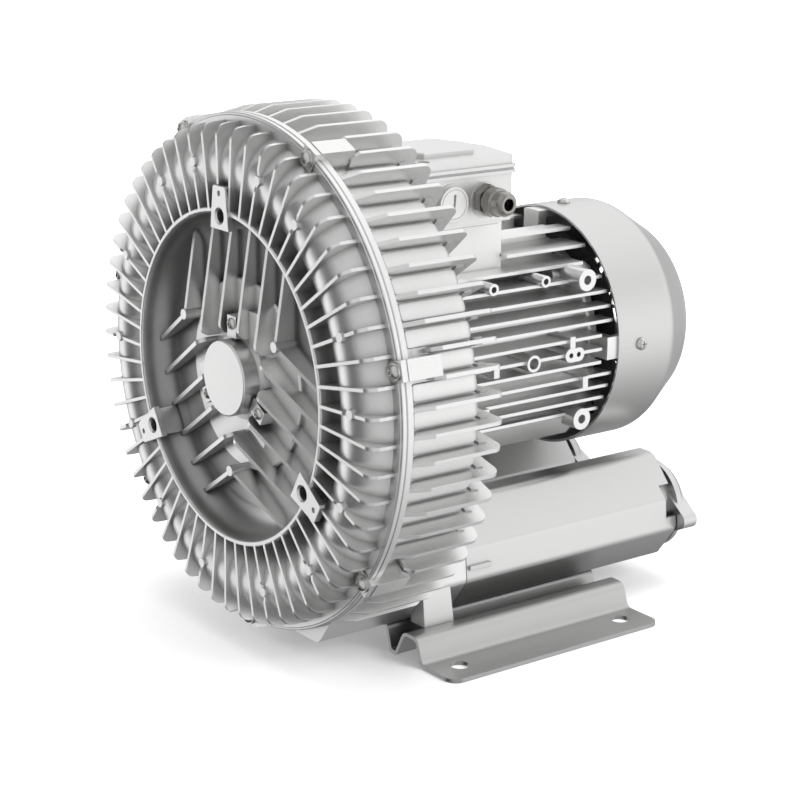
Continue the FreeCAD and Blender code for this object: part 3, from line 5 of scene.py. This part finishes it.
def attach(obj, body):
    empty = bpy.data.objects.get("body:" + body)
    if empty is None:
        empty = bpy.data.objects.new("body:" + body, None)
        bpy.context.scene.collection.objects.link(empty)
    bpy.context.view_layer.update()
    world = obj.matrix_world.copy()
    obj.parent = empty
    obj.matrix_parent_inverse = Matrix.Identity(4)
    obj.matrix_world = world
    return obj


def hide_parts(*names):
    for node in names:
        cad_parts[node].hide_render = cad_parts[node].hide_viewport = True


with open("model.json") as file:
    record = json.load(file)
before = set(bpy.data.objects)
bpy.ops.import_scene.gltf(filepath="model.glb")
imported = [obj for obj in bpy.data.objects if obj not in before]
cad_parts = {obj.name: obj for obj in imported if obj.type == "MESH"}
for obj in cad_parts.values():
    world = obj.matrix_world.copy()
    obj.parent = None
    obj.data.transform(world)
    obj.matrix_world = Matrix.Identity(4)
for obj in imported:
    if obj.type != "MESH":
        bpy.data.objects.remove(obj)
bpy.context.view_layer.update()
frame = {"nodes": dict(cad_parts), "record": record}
nodes = frame["nodes"]
scene = bpy.context.scene

# ------------------------------------------------------------------ camera
R = Vector((0.59162511, 0.80619031, 0.00607602))
U = Vector((-0.22077781, 0.15476083, 0.96296741))
B = Vector((0.77539467, -0.57105715, 0.26954933))
cam_data = bpy.data.cameras.new("camera")
cam = bpy.data.objects.new("camera", cam_data)
scene.collection.objects.link(cam)
rot = Matrix((R, U, B)).transposed()
cam.matrix_world = Matrix.Translation((1.27743, -0.97674, 0.61366)) @ rot.to_4x4()
cam_data.sensor_width = 36.0
cam_data.lens = 2094.05 / 800.0 * 36.0
cam_data.clip_start = 0.05
cam_data.clip_end = 60.0
scene.camera = cam

# ------------------------------------------------------------------ stage and light
def area(name, loc, target, sx, sy, power, color=(1, 1, 1)):
    d = bpy.data.lights.new(name, "AREA")
    d.shape = "RECTANGLE"; d.size = sx; d.size_y = sy; d.energy = power; d.color = color
    o = bpy.data.objects.new(name, d)
    scene.collection.objects.link(o)
    o.location = loc
    v = Vector(target) - Vector(loc)
    o.rotation_euler = v.to_track_quat("-Z", "Y").to_euler()
    return o

me = bpy.data.meshes.new("floor")
s = 30.0
me.from_pydata([(-s, -s, -0.0002), (s, -s, -0.0002), (s, s, -0.0002), (-s, s, -0.0002)], [], [(0, 1, 2, 3)])
floor = bpy.data.objects.new("floor", me)
scene.collection.objects.link(floor)
fm = bpy.data.materials.new("floor")
fm.use_nodes = True
bs = fm.node_tree.nodes["Principled BSDF"]
bs.inputs["Base Color"].default_value = (0.8, 0.8, 0.8, 1)
bs.inputs["Roughness"].default_value = 0.9
bs.inputs["Specular IOR Level"].default_value = 0.1
bs.inputs["Emission Color"].default_value = (1, 1, 1, 1)
# the floor glows a little more with distance, so that it runs out into the white surround
ft = fm.node_tree
ftc = ft.nodes.new("ShaderNodeTexCoord")
fln = ft.nodes.new("ShaderNodeVectorMath"); fln.operation = "LENGTH"
fmr = ft.nodes.new("ShaderNodeMapRange"); fmr.interpolation_type = "SMOOTHSTEP"
ft.links.new(ftc.outputs["Object"], fln.inputs[0])
ft.links.new(fln.outputs["Value"], fmr.inputs["Value"])
for k, v in (("From Min", 0.35), ("From Max", 1.5), ("To Min", 0.2), ("To Max", 1.1)):
    fmr.inputs[k].default_value = v
ft.links.new(fmr.outputs[0], bs.inputs["Emission Strength"])
me.materials.append(fm)
floor.visible_glossy = False

T = (0.0, 0.0, 0.2)
for o in (area("top_box", (-0.1, 0.1, 2.4), T, 2.0, 2.0, 42.0),
          area("left_box", (-1.5, -1.9, 1.3), T, 1.3, 1.3, 34.0),
          area("right_box", (2.0, 0.9, 1.4), T, 1.3, 1.3, 36.0)):
    o.visible_glossy = False

# studio surround: white for the camera, soft bright and dark sides for the reflections
world = bpy.data.worlds.new("world")
scene.world = world
world.use_nodes = True
world.cycles.sampling_method = "NONE"
nt = world.node_tree
nt.nodes.clear()
wl = nt.links.new
out = nt.nodes.new("ShaderNodeOutputWorld")
bg = nt.nodes.new("ShaderNodeBackground")
bgc = nt.nodes.new("ShaderNodeBackground")
mix = nt.nodes.new("ShaderNodeMixShader")
lp = nt.nodes.new("ShaderNodeLightPath")
tc = nt.nodes.new("ShaderNodeTexCoord")
sepw = nt.nodes.new("ShaderNodeSeparateXYZ")
wl(tc.outputs["Generated"], sepw.inputs[0])

def wmath(op, x, y):
    n = nt.nodes.new("ShaderNodeMath"); n.operation = op
    for i, v in enumerate((x, y)):
        if isinstance(v, (int, float)):
            n.inputs[i].default_value = v
        else:
            wl(v, n.inputs[i])
    return n.outputs[0]

def wramp(x, lo, hi, a, b):
    r = nt.nodes.new("ShaderNodeMapRange"); r.interpolation_type = "SMOOTHSTEP"
    wl(x, r.inputs["Value"])
    for k, v in (("From Min", lo), ("From Max", hi), ("To Min", a), ("To Max", b)):
        r.inputs[k].default_value = v
    return r.outputs[0]

def card(direction, half, soft, level):
    """a soft-edged round card seen in that direction; half and soft are angles in degrees"""
    d = Vector(direction).normalized()
    dot = nt.nodes.new("ShaderNodeVectorMath"); dot.operation = "DOT_PRODUCT"
    wl(tc.outputs["Generated"], dot.inputs[0]); dot.inputs[1].default_value = d
    return wramp(dot.outputs["Value"], math.cos(math.radians(half + soft)), math.cos(math.radians(max(half - soft, 0.0))), 0.0, level)

rear = wmath("MULTIPLY", wramp(sepw.outputs["Y"], -0.15, 0.45, 0.0, 1.34), wramp(sepw.outputs["Z"], -0.95, 0.05, 0.36, 0.95))
rear = wmath("MULTIPLY", rear, wramp(sepw.outputs["X"], -0.45, 0.75, 0.38, 1.0))
rear = wmath("MULTIPLY", rear, wramp(sepw.outputs["Z"], 0.0, 0.55, 1.0, 0.66))
ceil = wmath("MULTIPLY", wramp(sepw.outputs["Z"], 0.0, 0.65, 0.0, 0.90), wramp(sepw.outputs["Y"], -0.25, 0.5, 0.12, 1.0))
ceil = wmath("MULTIPLY", ceil, wramp(sepw.outputs["X"], -0.4, 0.9, 1.0, 0.0))
left = card((-0.885, -0.37, -0.22), 16, 11, 1.50)
far = wmath("MULTIPLY", wramp(sepw.outputs["X"], -0.85, -0.45, 0.30, 0.0), wramp(sepw.outputs["Y"], -0.05, 0.4, 0.0, 1.0))
# a dimmer field on the right of the front, which leans over at the top
lean = wmath("ADD", sepw.outputs["X"], wmath("MULTIPLY", sepw.outputs["Z"], 0.6))
front = wmath("MULTIPLY", wramp(lean, -0.35, 0.30, 0.0, 0.60), wramp(sepw.outputs["Y"], -0.20, 0.15, 1.0, 0.0))
tot = wmath("ADD", wmath("ADD", wmath("ADD", rear, far), ceil), wmath("ADD", wmath("ADD", left, front), 0.05))
soft = nt.nodes.new("ShaderNodeMath"); soft.operation = "SMOOTH_MIN"
wl(tot, soft.inputs[0]); soft.inputs[1].default_value = 1.20; soft.inputs[2].default_value = 0.35
wl(soft.outputs[0], bg.inputs["Strength"])
bg.inputs["Color"].default_value = (1, 1, 1, 1)
bgc.inputs["Color"].default_value = (1, 1, 1, 1)
bgc.inputs["Strength"].default_value = 1.0
wl(lp.outputs["Is Camera Ray"], mix.inputs[0])
wl(bg.outputs[0], mix.inputs[1])
wl(bgc.outputs[0], mix.inputs[2])
wl(mix.outputs[0], out.inputs[0])

scene.view_settings.view_transform = "Standard"
scene.view_settings.look = "None"
scene.view_settings.exposure = 0.0

# ------------------------------------------------------------------ materials
def new_mat(name):
    m = bpy.data.materials.new(name)
    m.use_nodes = True
    n = m.node_tree.nodes
    return m, m.node_tree, n, n["Principled BSDF"]

def surface(name, base, rough, metal, grain=900.0, grain_amt=0.10, bump=0.00003, blotch=14.0, blotch_amt=0.06,
            rough_amt=0.08, edge=0.0, spec=0.5, coat=0.0, coat_rough=0.2, ao=0.0, ao_dist=0.01, dark=(0.1, 0.1, 0.1), brush=None, dish=None):
    """grainy coated or bare surface: fine grain, soft blotches, painted shade in the corners and rounded edges"""
    m, t, n, p = new_mat(name)
    L = t.links.new
    tc = n.new("ShaderNodeTexCoord")
    mp = n.new("ShaderNodeMapping")
    L(tc.outputs["Object"], mp.inputs[0])
    if brush:
        mp.inputs["Scale"].default_value = brush
    g = n.new("ShaderNodeTexNoise"); g.inputs["Scale"].default_value = grain; g.inputs["Detail"].default_value = 3.0; g.inputs["Roughness"].default_value = 0.6
    b = n.new("ShaderNodeTexNoise"); b.inputs["Scale"].default_value = blotch; b.inputs["Detail"].default_value = 4.0; b.inputs["Roughness"].default_value = 0.55
    L(mp.outputs[0], g.inputs["Vector"]); L(tc.outputs["Object"], b.inputs["Vector"])
    # colour: base +- grain and blotches
    add = n.new("ShaderNodeMath"); add.operation = "MULTIPLY_ADD"
    L(g.outputs["Fac"], add.inputs[0]); add.inputs[1].default_value = grain_amt
    add2 = n.new("ShaderNodeMath"); add2.operation = "MULTIPLY_ADD"
    L(b.outputs["Fac"], add2.inputs[0]); add2.inputs[1].default_value = blotch_amt; add2.inputs[2].default_value = 1.0 - 0.5 * grain_amt - 0.5 * blotch_amt
    L(add2.outputs[0], add.inputs[2])
    col = n.new("ShaderNodeVectorMath"); col.operation = "SCALE"
    col.inputs[0].default_value = base
    L(add.outputs[0], col.inputs["Scale"])
    last = col.outputs[0]
    # painted shade: the colour is mixed toward dark where ambient occlusion within ao_dist finds corners, creases and
    # recesses
    if ao > 0:
        a = n.new("ShaderNodeAmbientOcclusion"); a.inputs["Distance"].default_value = ao_dist; a.samples = 4
        r = n.new("ShaderNodeMapRange"); r.inputs["From Min"].default_value = 0.25; r.inputs["From Max"].default_value = 0.85
        r.inputs["To Min"].default_value = 1.0 - ao; r.inputs["To Max"].default_value = 1.0
        L(a.outputs["AO"], r.inputs["Value"])
        mx = n.new("ShaderNodeMix"); mx.data_type = "RGBA"
        L(r.outputs[0], mx.inputs["Factor"])
        mx.inputs["A"].default_value = (*dark, 1)
        L(last, mx.inputs["B"])
        last = mx.outputs["Result"]
    if dish:
        # painted shade: the deep floor and wall of the cover's dish are darkened by the factor dish against the ribs
        # and the plateau
        def calc(op, x, y=0.0):
            q = n.new("ShaderNodeMath"); q.operation = op
            for i, v in enumerate((x, y)):
                if isinstance(v, (int, float)):
                    q.inputs[i].default_value = v
                else:
                    L(v, q.inputs[i])
            return q.outputs[0]
        sp = n.new("ShaderNodeSeparateXYZ"); L(tc.outputs["Object"], sp.inputs[0])
        zz = calc("SUBTRACT", sp.outputs["Z"], 0.212)
        rad = calc("SQRT", calc("ADD", calc("MULTIPLY", sp.outputs["X"], sp.outputs["X"]), calc("MULTIPLY", zz, zz)))
        out_r = calc("MAXIMUM", calc("DIVIDE", calc("SUBTRACT", rad, 0.101), 0.0206), 0.0)
        floor_y = calc("SUBTRACT", 0.0225, calc("MULTIPLY", calc("POWER", out_r, 3.5), 0.016))
        deep = calc("SUBTRACT", calc("ADD", sp.outputs["Y"], 0.197 + 0.0042), floor_y)
        m1 = n.new("ShaderNodeMapRange"); m1.interpolation_type = "SMOOTHSTEP"
        L(deep, m1.inputs["Value"]); m1.inputs["From Min"].default_value = 0.0; m1.inputs["From Max"].default_value = 0.0036
        m2 = n.new("ShaderNodeMapRange")
        L(rad, m2.inputs["Value"]); m2.inputs["From Min"].default_value = 0.1225; m2.inputs["From Max"].default_value = 0.1232
        m2.inputs["To Min"].default_value = dish; m2.inputs["To Max"].default_value = 0.0
        # the painted shade fades out towards the lower right of the dish, which stays brighter
        side = calc("DIVIDE", calc("SUBTRACT", calc("MULTIPLY", sp.outputs["X"], 0.80), calc("MULTIPLY", zz, 0.60)), calc("MAXIMUM", rad, 0.001))
        m3 = n.new("ShaderNodeMapRange"); m3.interpolation_type = "SMOOTHSTEP"
        L(side, m3.inputs["Value"]); m3.inputs["From Min"].default_value = 0.35; m3.inputs["From Max"].default_value = 0.95
        m3.inputs["To Min"].default_value = 1.0; m3.inputs["To Max"].default_value = 0.12
        sc = n.new("ShaderNodeVectorMath"); sc.operation = "SCALE"
        L(last, sc.inputs[0]); L(calc("SUBTRACT", 1.0, calc("MULTIPLY", calc("MULTIPLY", m1.outputs[0], m2.outputs[0]), m3.outputs[0])), sc.inputs["Scale"])
        last = sc.outputs[0]
    L(last, p.inputs["Base Color"])
    rr = n.new("ShaderNodeMath"); rr.operation = "MULTIPLY_ADD"
    L(b.outputs["Fac"], rr.inputs[0]); rr.inputs[1].default_value = rough_amt; rr.inputs[2].default_value = rough - 0.5 * rough_amt
    L(rr.outputs[0], p.inputs["Roughness"])
    bp = n.new("ShaderNodeBump"); bp.inputs["Distance"].default_value = bump; bp.inputs["Strength"].default_value = 1.0
    L(g.outputs["Fac"], bp.inputs["Height"])
    if edge > 0:
        bv = n.new("ShaderNodeBevel"); bv.samples = 4; bv.inputs["Radius"].default_value = edge
        L(bv.outputs[0], bp.inputs["Normal"])
    L(bp.outputs[0], p.inputs["Normal"])
    p.inputs["Metallic"].default_value = metal
    p.inputs["Specular IOR Level"].default_value = spec
    if coat > 0:
        p.inputs["Coat Weight"].default_value = coat
        p.inputs["Coat Roughness"].default_value = coat_rough
    return m

M = {}
M["cast_aluminium"] = surface("cast_aluminium", (0.76, 0.76, 0.755), 0.38, 0.95, grain=700.0, grain_amt=0.10, bump=0.00004, edge=0.0004, ao=0.28, ao_dist=0.006, dark=(0.14, 0.14, 0.14))
# lit and shaded copies of cast_aluminium: the same casting with a lighter base colour per part, and painted shade in
# the fin valleys and in the cover's dish
M["cast_cover_lit_and_shaded"] = surface("cast_cover_lit_and_shaded", (0.84, 0.84, 0.835), 0.35, 0.95, grain=700.0, grain_amt=0.10, bump=0.00004, edge=0.0004, ao=0.62, ao_dist=0.012, dark=(0.09, 0.09, 0.09), dish=0.58)
M["cast_housing_lit_and_shaded"] = surface("cast_housing_lit_and_shaded", (0.83, 0.83, 0.825), 0.37, 0.95, grain=700.0, grain_amt=0.10, bump=0.00004, edge=0.0004, ao=0.42, ao_dist=0.007, dark=(0.10, 0.10, 0.10))
M["cast_motor_lit_copy"] = surface("cast_motor_lit_copy", (0.87, 0.87, 0.865), 0.38, 0.95, grain=700.0, grain_amt=0.10, bump=0.00004, edge=0.0003, ao=0.25, ao_dist=0.005, dark=(0.10, 0.10, 0.10))
# shaded copies: darker base colour, and painted shade reaching 5 to 7 cm, which darkens the undersides of the silencers
# and feet near the floor
M["tube_paint_and_shade"] = surface("tube_paint_and_shade", (0.69, 0.69, 0.685), 0.34, 0.95, grain=900.0, grain_amt=0.07, bump=0.00003, edge=0.0005, ao=0.45, ao_dist=0.07, dark=(0.10, 0.10, 0.10))
M["foot_paint_and_shade"] = surface("foot_paint_and_shade", (0.56, 0.56, 0.555), 0.36, 0.95, grain=900.0, grain_amt=0.07, bump=0.00003, edge=0.0006, ao=0.5, ao_dist=0.05, dark=(0.10, 0.10, 0.10))
M["painted_sheet"] = surface("painted_sheet", (0.66, 0.66, 0.655), 0.32, 1.0, grain=900.0, grain_amt=0.06, bump=0.00002, edge=0.0006)
M["machined_aluminium"] = surface("machined_aluminium", (0.70, 0.70, 0.69), 0.28, 1.0, grain=500.0, grain_amt=0.05, bump=0.00001)
M["zinc_steel"] = surface("zinc_steel", (0.72, 0.72, 0.70), 0.28, 1.0, grain=1500.0, grain_amt=0.08, bump=0.00001, edge=0.0003)
M["shaft_steel"] = surface("shaft_steel", (0.50, 0.50, 0.51), 0.25, 1.0, grain=300.0, grain_amt=0.06, bump=0.00001, brush=(1, 12, 1))
M["bearing_steel"] = surface("bearing_steel", (0.66, 0.66, 0.67), 0.12, 1.0, grain=900.0, grain_amt=0.03, bump=0.000004)
M["spring_steel"] = surface("spring_steel", (0.16, 0.16, 0.17), 0.35, 0.9, grain=900.0, grain_amt=0.08, bump=0.00001)
M["lamination"] = surface("lamination", (0.25, 0.25, 0.25), 0.45, 0.9, grain=60.0, grain_amt=0.15, bump=0.00006, brush=(1, 33, 1))
M["copper"] = surface("copper", (0.55, 0.22, 0.08), 0.35, 0.6, grain=600.0, grain_amt=0.25, bump=0.0001, coat=0.4)
M["brass"] = surface("brass", (0.62, 0.44, 0.17), 0.28, 1.0, grain=900.0, grain_amt=0.08, bump=0.00001)
# painted shade: strong ao over 1.6 mm darkens the grip grooves of the gland nut
M["nickel_brass"] = surface("nickel_brass", (0.37, 0.36, 0.34), 0.24, 1.0, grain=1200.0, grain_amt=0.12, bump=0.00002, ao=0.85, ao_dist=0.0016, dark=(0.05, 0.05, 0.045))
M["black_rubber"] = surface("black_rubber", (0.025, 0.025, 0.025), 0.6, 0.0, grain=900.0, grain_amt=0.2, bump=0.00003)
M["fan_plastic"] = surface("fan_plastic", (0.05, 0.05, 0.05), 0.5, 0.0, grain=700.0, grain_amt=0.2, bump=0.00003)
M["board_plastic"] = surface("board_plastic", (0.04, 0.035, 0.03), 0.5, 0.0, grain=700.0, grain_amt=0.2, bump=0.00003)
M["plug_plastic"] = surface("plug_plastic", (0.62, 0.62, 0.61), 0.4, 0.4, grain=900.0, grain_amt=0.05, bump=0.00001, edge=0.0004)
M["foam"] = surface("foam", (0.06, 0.06, 0.065), 0.95, 0.0, grain=420.0, grain_amt=0.6, bump=0.0006)
M["plate"] = surface("plate", (0.69, 0.69, 0.68), 0.42, 0.5, grain=900.0, grain_amt=0.03, bump=0.000005)

M["grey_rubber"] = surface("grey_rubber", (0.30, 0.30, 0.30), 0.5, 0.0, grain=900.0, grain_amt=0.12, bump=0.00002)

# which part takes which lit or shaded copy of the casting finish
FINISH = {"box_gasket": "grey_rubber", "front_cover": "cast_cover_lit_and_shaded", "rear_housing": "cast_housing_lit_and_shaded", "motor_housing": "cast_motor_lit_copy", "rear_end_shield": "cast_motor_lit_copy",
          "right_silencer": "tube_paint_and_shade", "left_silencer": "tube_paint_and_shade", "right_port_flange": "tube_paint_and_shade", "left_port_flange": "tube_paint_and_shade",
          "right_foot": "foot_paint_and_shade", "left_foot": "foot_paint_and_shade"}
slot_of = {s["node"]: s["material_slot"] for s in frame["record"]["subparts"]}
for name, o in nodes.items():
    m = M[FINISH.get(name, slot_of[name])]
    o.data.materials.clear()
    o.data.materials.append(m)
    o.data.polygons.foreach_set("material_index", [0] * len(o.data.polygons))

# ------------------------------------------------------------------ pieces added to the castings
AXIS = Vector((0.0, -0.197, 0.212))        # the shaft axis in the rim plane of the cover

def around(deg, r, y, t):
    """point at the angle deg round the shaft: radius r, depth y, t sideways; millimetres"""
    a = math.radians(deg); c, n = math.cos(a), math.sin(a)
    return Vector((r * c - t * n, y, r * n + t * c)) * 0.001 + AXIS

def piece(name, bm, slot, replaces=(), sharp=38.0, finish=None):
    bmesh.ops.recalc_face_normals(bm, faces=bm.faces)
    me = bpy.data.meshes.new(name)
    bm.to_mesh(me); bm.free()
    me.polygons.foreach_set("use_smooth", [True] * len(me.polygons))
    me.set_sharp_from_angle(angle=math.radians(sharp))
    me.materials.append(M[finish or slot])
    ob = bpy.data.objects.new(name, me)
    scene.collection.objects.link(ob)
    if replaces:
        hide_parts(*replaces)
    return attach(ob, "base")

def strip(bm, rows, closed_rows=False):
    """skin between rows of points; each row is a closed loop when closed_rows is set"""
    vs = [[bm.verts.new(p) for p in row] for row in rows]
    m = len(vs[0])
    for i in range(len(vs) - 1):
        for j in range(m if closed_rows else m - 1):
            k = (j + 1) % m
            bm.faces.new((vs[i][j], vs[i][k], vs[i + 1][k], vs[i + 1][j]))
    return vs

FIN_DEG = [16.0 + 5.74 * k for k in range(-13, 40)]
CLAMP_DEG = [-90.0 + 360.0 / 7 * i for i in range(7)]

def barrel_r(y):
    if y < 34.5: return 189.0 - (y - 30.4) / 4.1 * 3.6
    if y < 41.0: return 185.4 - (y - 34.5) / 6.5 * 1.4
    if y < 86.0: return 184.0
    return 174.0 + math.sqrt(max(100.0 - (y - 86.0) ** 2, 0.0))

def tile(bm, deg, y0, y1):
    """raised panel between two barrel fins: slightly crowned, round rear corners, falling off to the rear"""
    W, r0, r1 = 5.9, 1.4, 5.2
    out = [(y0 + r0 * (1 - math.cos(math.radians(a))), W - r0 * (1 - math.sin(math.radians(a)))) for a in (0, 30, 60, 90)]
    out += [(y0 + r0 + (y1 - r1 - y0 - r0) * i / 8.0, W) for i in range(1, 8)]
    out += [(y1 - r1 * (1 - math.sin(math.radians(a))), W - r1 * (1 - math.cos(math.radians(a)))) for a in (0, 15, 30, 45, 60, 75, 90)]
    cols = [-1.0, -0.75, -0.4, 0.0, 0.4, 0.75, 1.0]
    top = lambda y: 185.75 if y < 86.0 else barrel_r(y) + 1.75
    grid = [[(y, w * u, top(y) + 0.18 * (1 - u * u)) for u in cols] for (y, w) in out]
    vs = strip(bm, [[around(deg, r, y, t) for (y, t, r) in row] for row in grid])
    # rim loop with its outward direction
    n, m = len(grid), len(cols)
    idx = [(i, 0) for i in range(n)] + [(n - 1, j) for j in range(1, m)] + [(i, m - 1) for i in range(n - 2, -1, -1)] + [(0, j) for j in range(m - 2, 0, -1)]
    P = [grid[i][j] for i, j in idx]
    loop = [vs[i][j] for i, j in idx]
    L = len(P)
    N = []
    for i in range(L):
        a, b = P[i - 1], P[(i + 1) % L]
        dy, dt = b[0] - a[0], b[1] - a[1]; q = math.hypot(dy, dt) or 1.0
        N.append((dt / q, -dy / q))
    cy = sum(p[0] for p in P) / L
    if sum((p[0] - cy) * nn[0] + p[1] * nn[1] for p, nn in zip(P, N)) < 0:
        N = [(-a, -b) for a, b in N]
    prev = loop
    for off, drop in ((0.28, 0.14), (0.42, 0.42), (0.75, 2.0)):
        new = []
        for p, nn in zip(P, N):
            y, t = p[0] + nn[0] * off, p[1] + nn[1] * off
            r = p[2] - drop if drop < 1.9 else barrel_r(min(y, 95.5)) - 0.5
            new.append(bm.verts.new(around(deg, r, y, t)))
        for i in range(L):
            k = (i + 1) % L
            bm.faces.new((prev[i], prev[k], new[k], new[i]))
        prev = new
    bm.faces.new(prev)

bm = bmesh.new()
for a0, a1 in zip(FIN_DEG, FIN_DEG[1:]):
    mid = (a0 + a1) / 2
    boss = min(abs((mid - c + 180) % 360 - 180) for c in CLAMP_DEG) < 1.6
    tile(bm, mid, 55.5 if boss else 36.5, 93.6)
piece("barrel_tiles", bm, "cast_aluminium", finish="cast_housing_lit_and_shaded")

# rim band of the cover flange between the clamp bosses, flush with the flange behind it
bm = bmesh.new()
band = [(191.9, 21.0), (193.35, 21.0), (193.65, 21.1), (193.85, 21.4), (193.9, 21.8), (193.9, 24.0), (193.8, 24.25), (193.6, 24.36), (191.9, 24.36)]
for a0 in CLAMP_DEG:
    lo, hi = a0 + 2.2, a0 + 360.0 / 7 - 2.2
    rows = [[around(lo + (hi - lo) * i / 64.0, r, y, 0.0) for (r, y) in band] for i in range(65)]
    vs = strip(bm, rows, closed_rows=True)
    bm.faces.new(vs[0]); bm.faces.new(list(reversed(vs[-1])))
piece("flange_band", bm, "cast_aluminium", sharp=50.0, finish="cast_cover_lit_and_shaded")

# fillets where the barrel fins grow out of the barrel
bm = bmesh.new()
FR = 1.25
for k, a in enumerate(FIN_DEG):
    near = min(abs((a - c + 180) % 360 - 180) for c in CLAMP_DEG)
    ys = [31.5, 34.5, 38.0, 41.0, 52.0, 63.0, 75.0, 86.0, 88.5, 91.0, 93.0] if near > 3.4 else [53.5, 63.0, 75.0, 86.0, 88.5, 91.0, 93.0]
    for sd in (-1, 1):
        rows = []
        for y in ys:
            b = barrel_r(y)
            sec = [(1.5 + FR + FR * math.cos(math.radians(q)), b + FR + FR * math.sin(math.radians(q))) for q in (180, 202, 225, 247, 270)]
            sec += [(1.5 + FR, b - 0.4), (1.35, b - 0.4), (1.35, b + FR)]
            rows.append([around(a, r, y, sd * t) for (t, r) in sec])
        vs = strip(bm, rows, closed_rows=True)
        bm.faces.new(vs[0]); bm.faces.new(list(reversed(vs[-1])))
piece("barrel_fillets", bm, "cast_aluminium", sharp=50.0, finish="cast_housing_lit_and_shaded")

# dome nut of the cable gland: slanted grip ribs, smooth nose
def lathe_x(bm, x0, y0, z0, profile, n, ripple):
    rows = []
    for i in range(n):
        a = 2 * math.pi * i / n
        rows.append([Vector((x0 + x, y0 - (r + ripple(x, a, r)) * math.cos(a), z0 + (r + ripple(x, a, r)) * math.sin(a))) * 0.001 + AXIS for (x, r) in profile])
    vs = [[bm.verts.new(p) for p in row] for row in rows]
    m = len(profile)
    for i in range(n):
        for j in range(m):
            a, b = vs[i], vs[(i + 1) % n]
            bm.faces.new((a[j], a[(j + 1) % m], b[(j + 1) % m], b[j]))

prof = [(0.0, 9.38), (0.0, 10.6), (0.25, 10.9)]
prof += [(0.6 + 8.4 * i / 18.0, 10.9) for i in range(19)]
prof += [(9.4, 10.8), (9.9, 10.3), (10.4, 9.9), (11.2, 9.75), (12.5, 9.75), (14.0, 9.72), (15.4, 9.62)]
prof += [(15.4 + 5.6 * math.sin(math.radians(q)), 5.9 + 3.72 * math.cos(math.radians(q))) for q in (12, 24, 36, 48, 60, 70, 80, 90)]
prof += [(21.0, 4.8), (20.7, 4.5), (20.0, 4.4), (19.0, 4.4), (17.0, 6.6), (15.0, 8.4), (12.6, 9.2), (10.5, 9.38)]

def grip(x, a, r):
    if r < 10.7 or x < 0.5 or x > 9.05: return 0.0
    w = min((x - 0.5) / 0.8, (9.05 - x) / 0.8, 1.0)
    c = math.cos(30 * (a - 0.075 * x))
    return -0.62 * w * (0.5 - 0.5 * c) ** 1.3 + 0.22 * w

bm = bmesh.new()
lathe_x(bm, 49.0 + 0.8 + 7.2, 204.0, 120.0, prof, 352, grip)
piece("gland_grip_nut", bm, "nickel_brass", replaces=("gland_nut",), sharp=60.0)
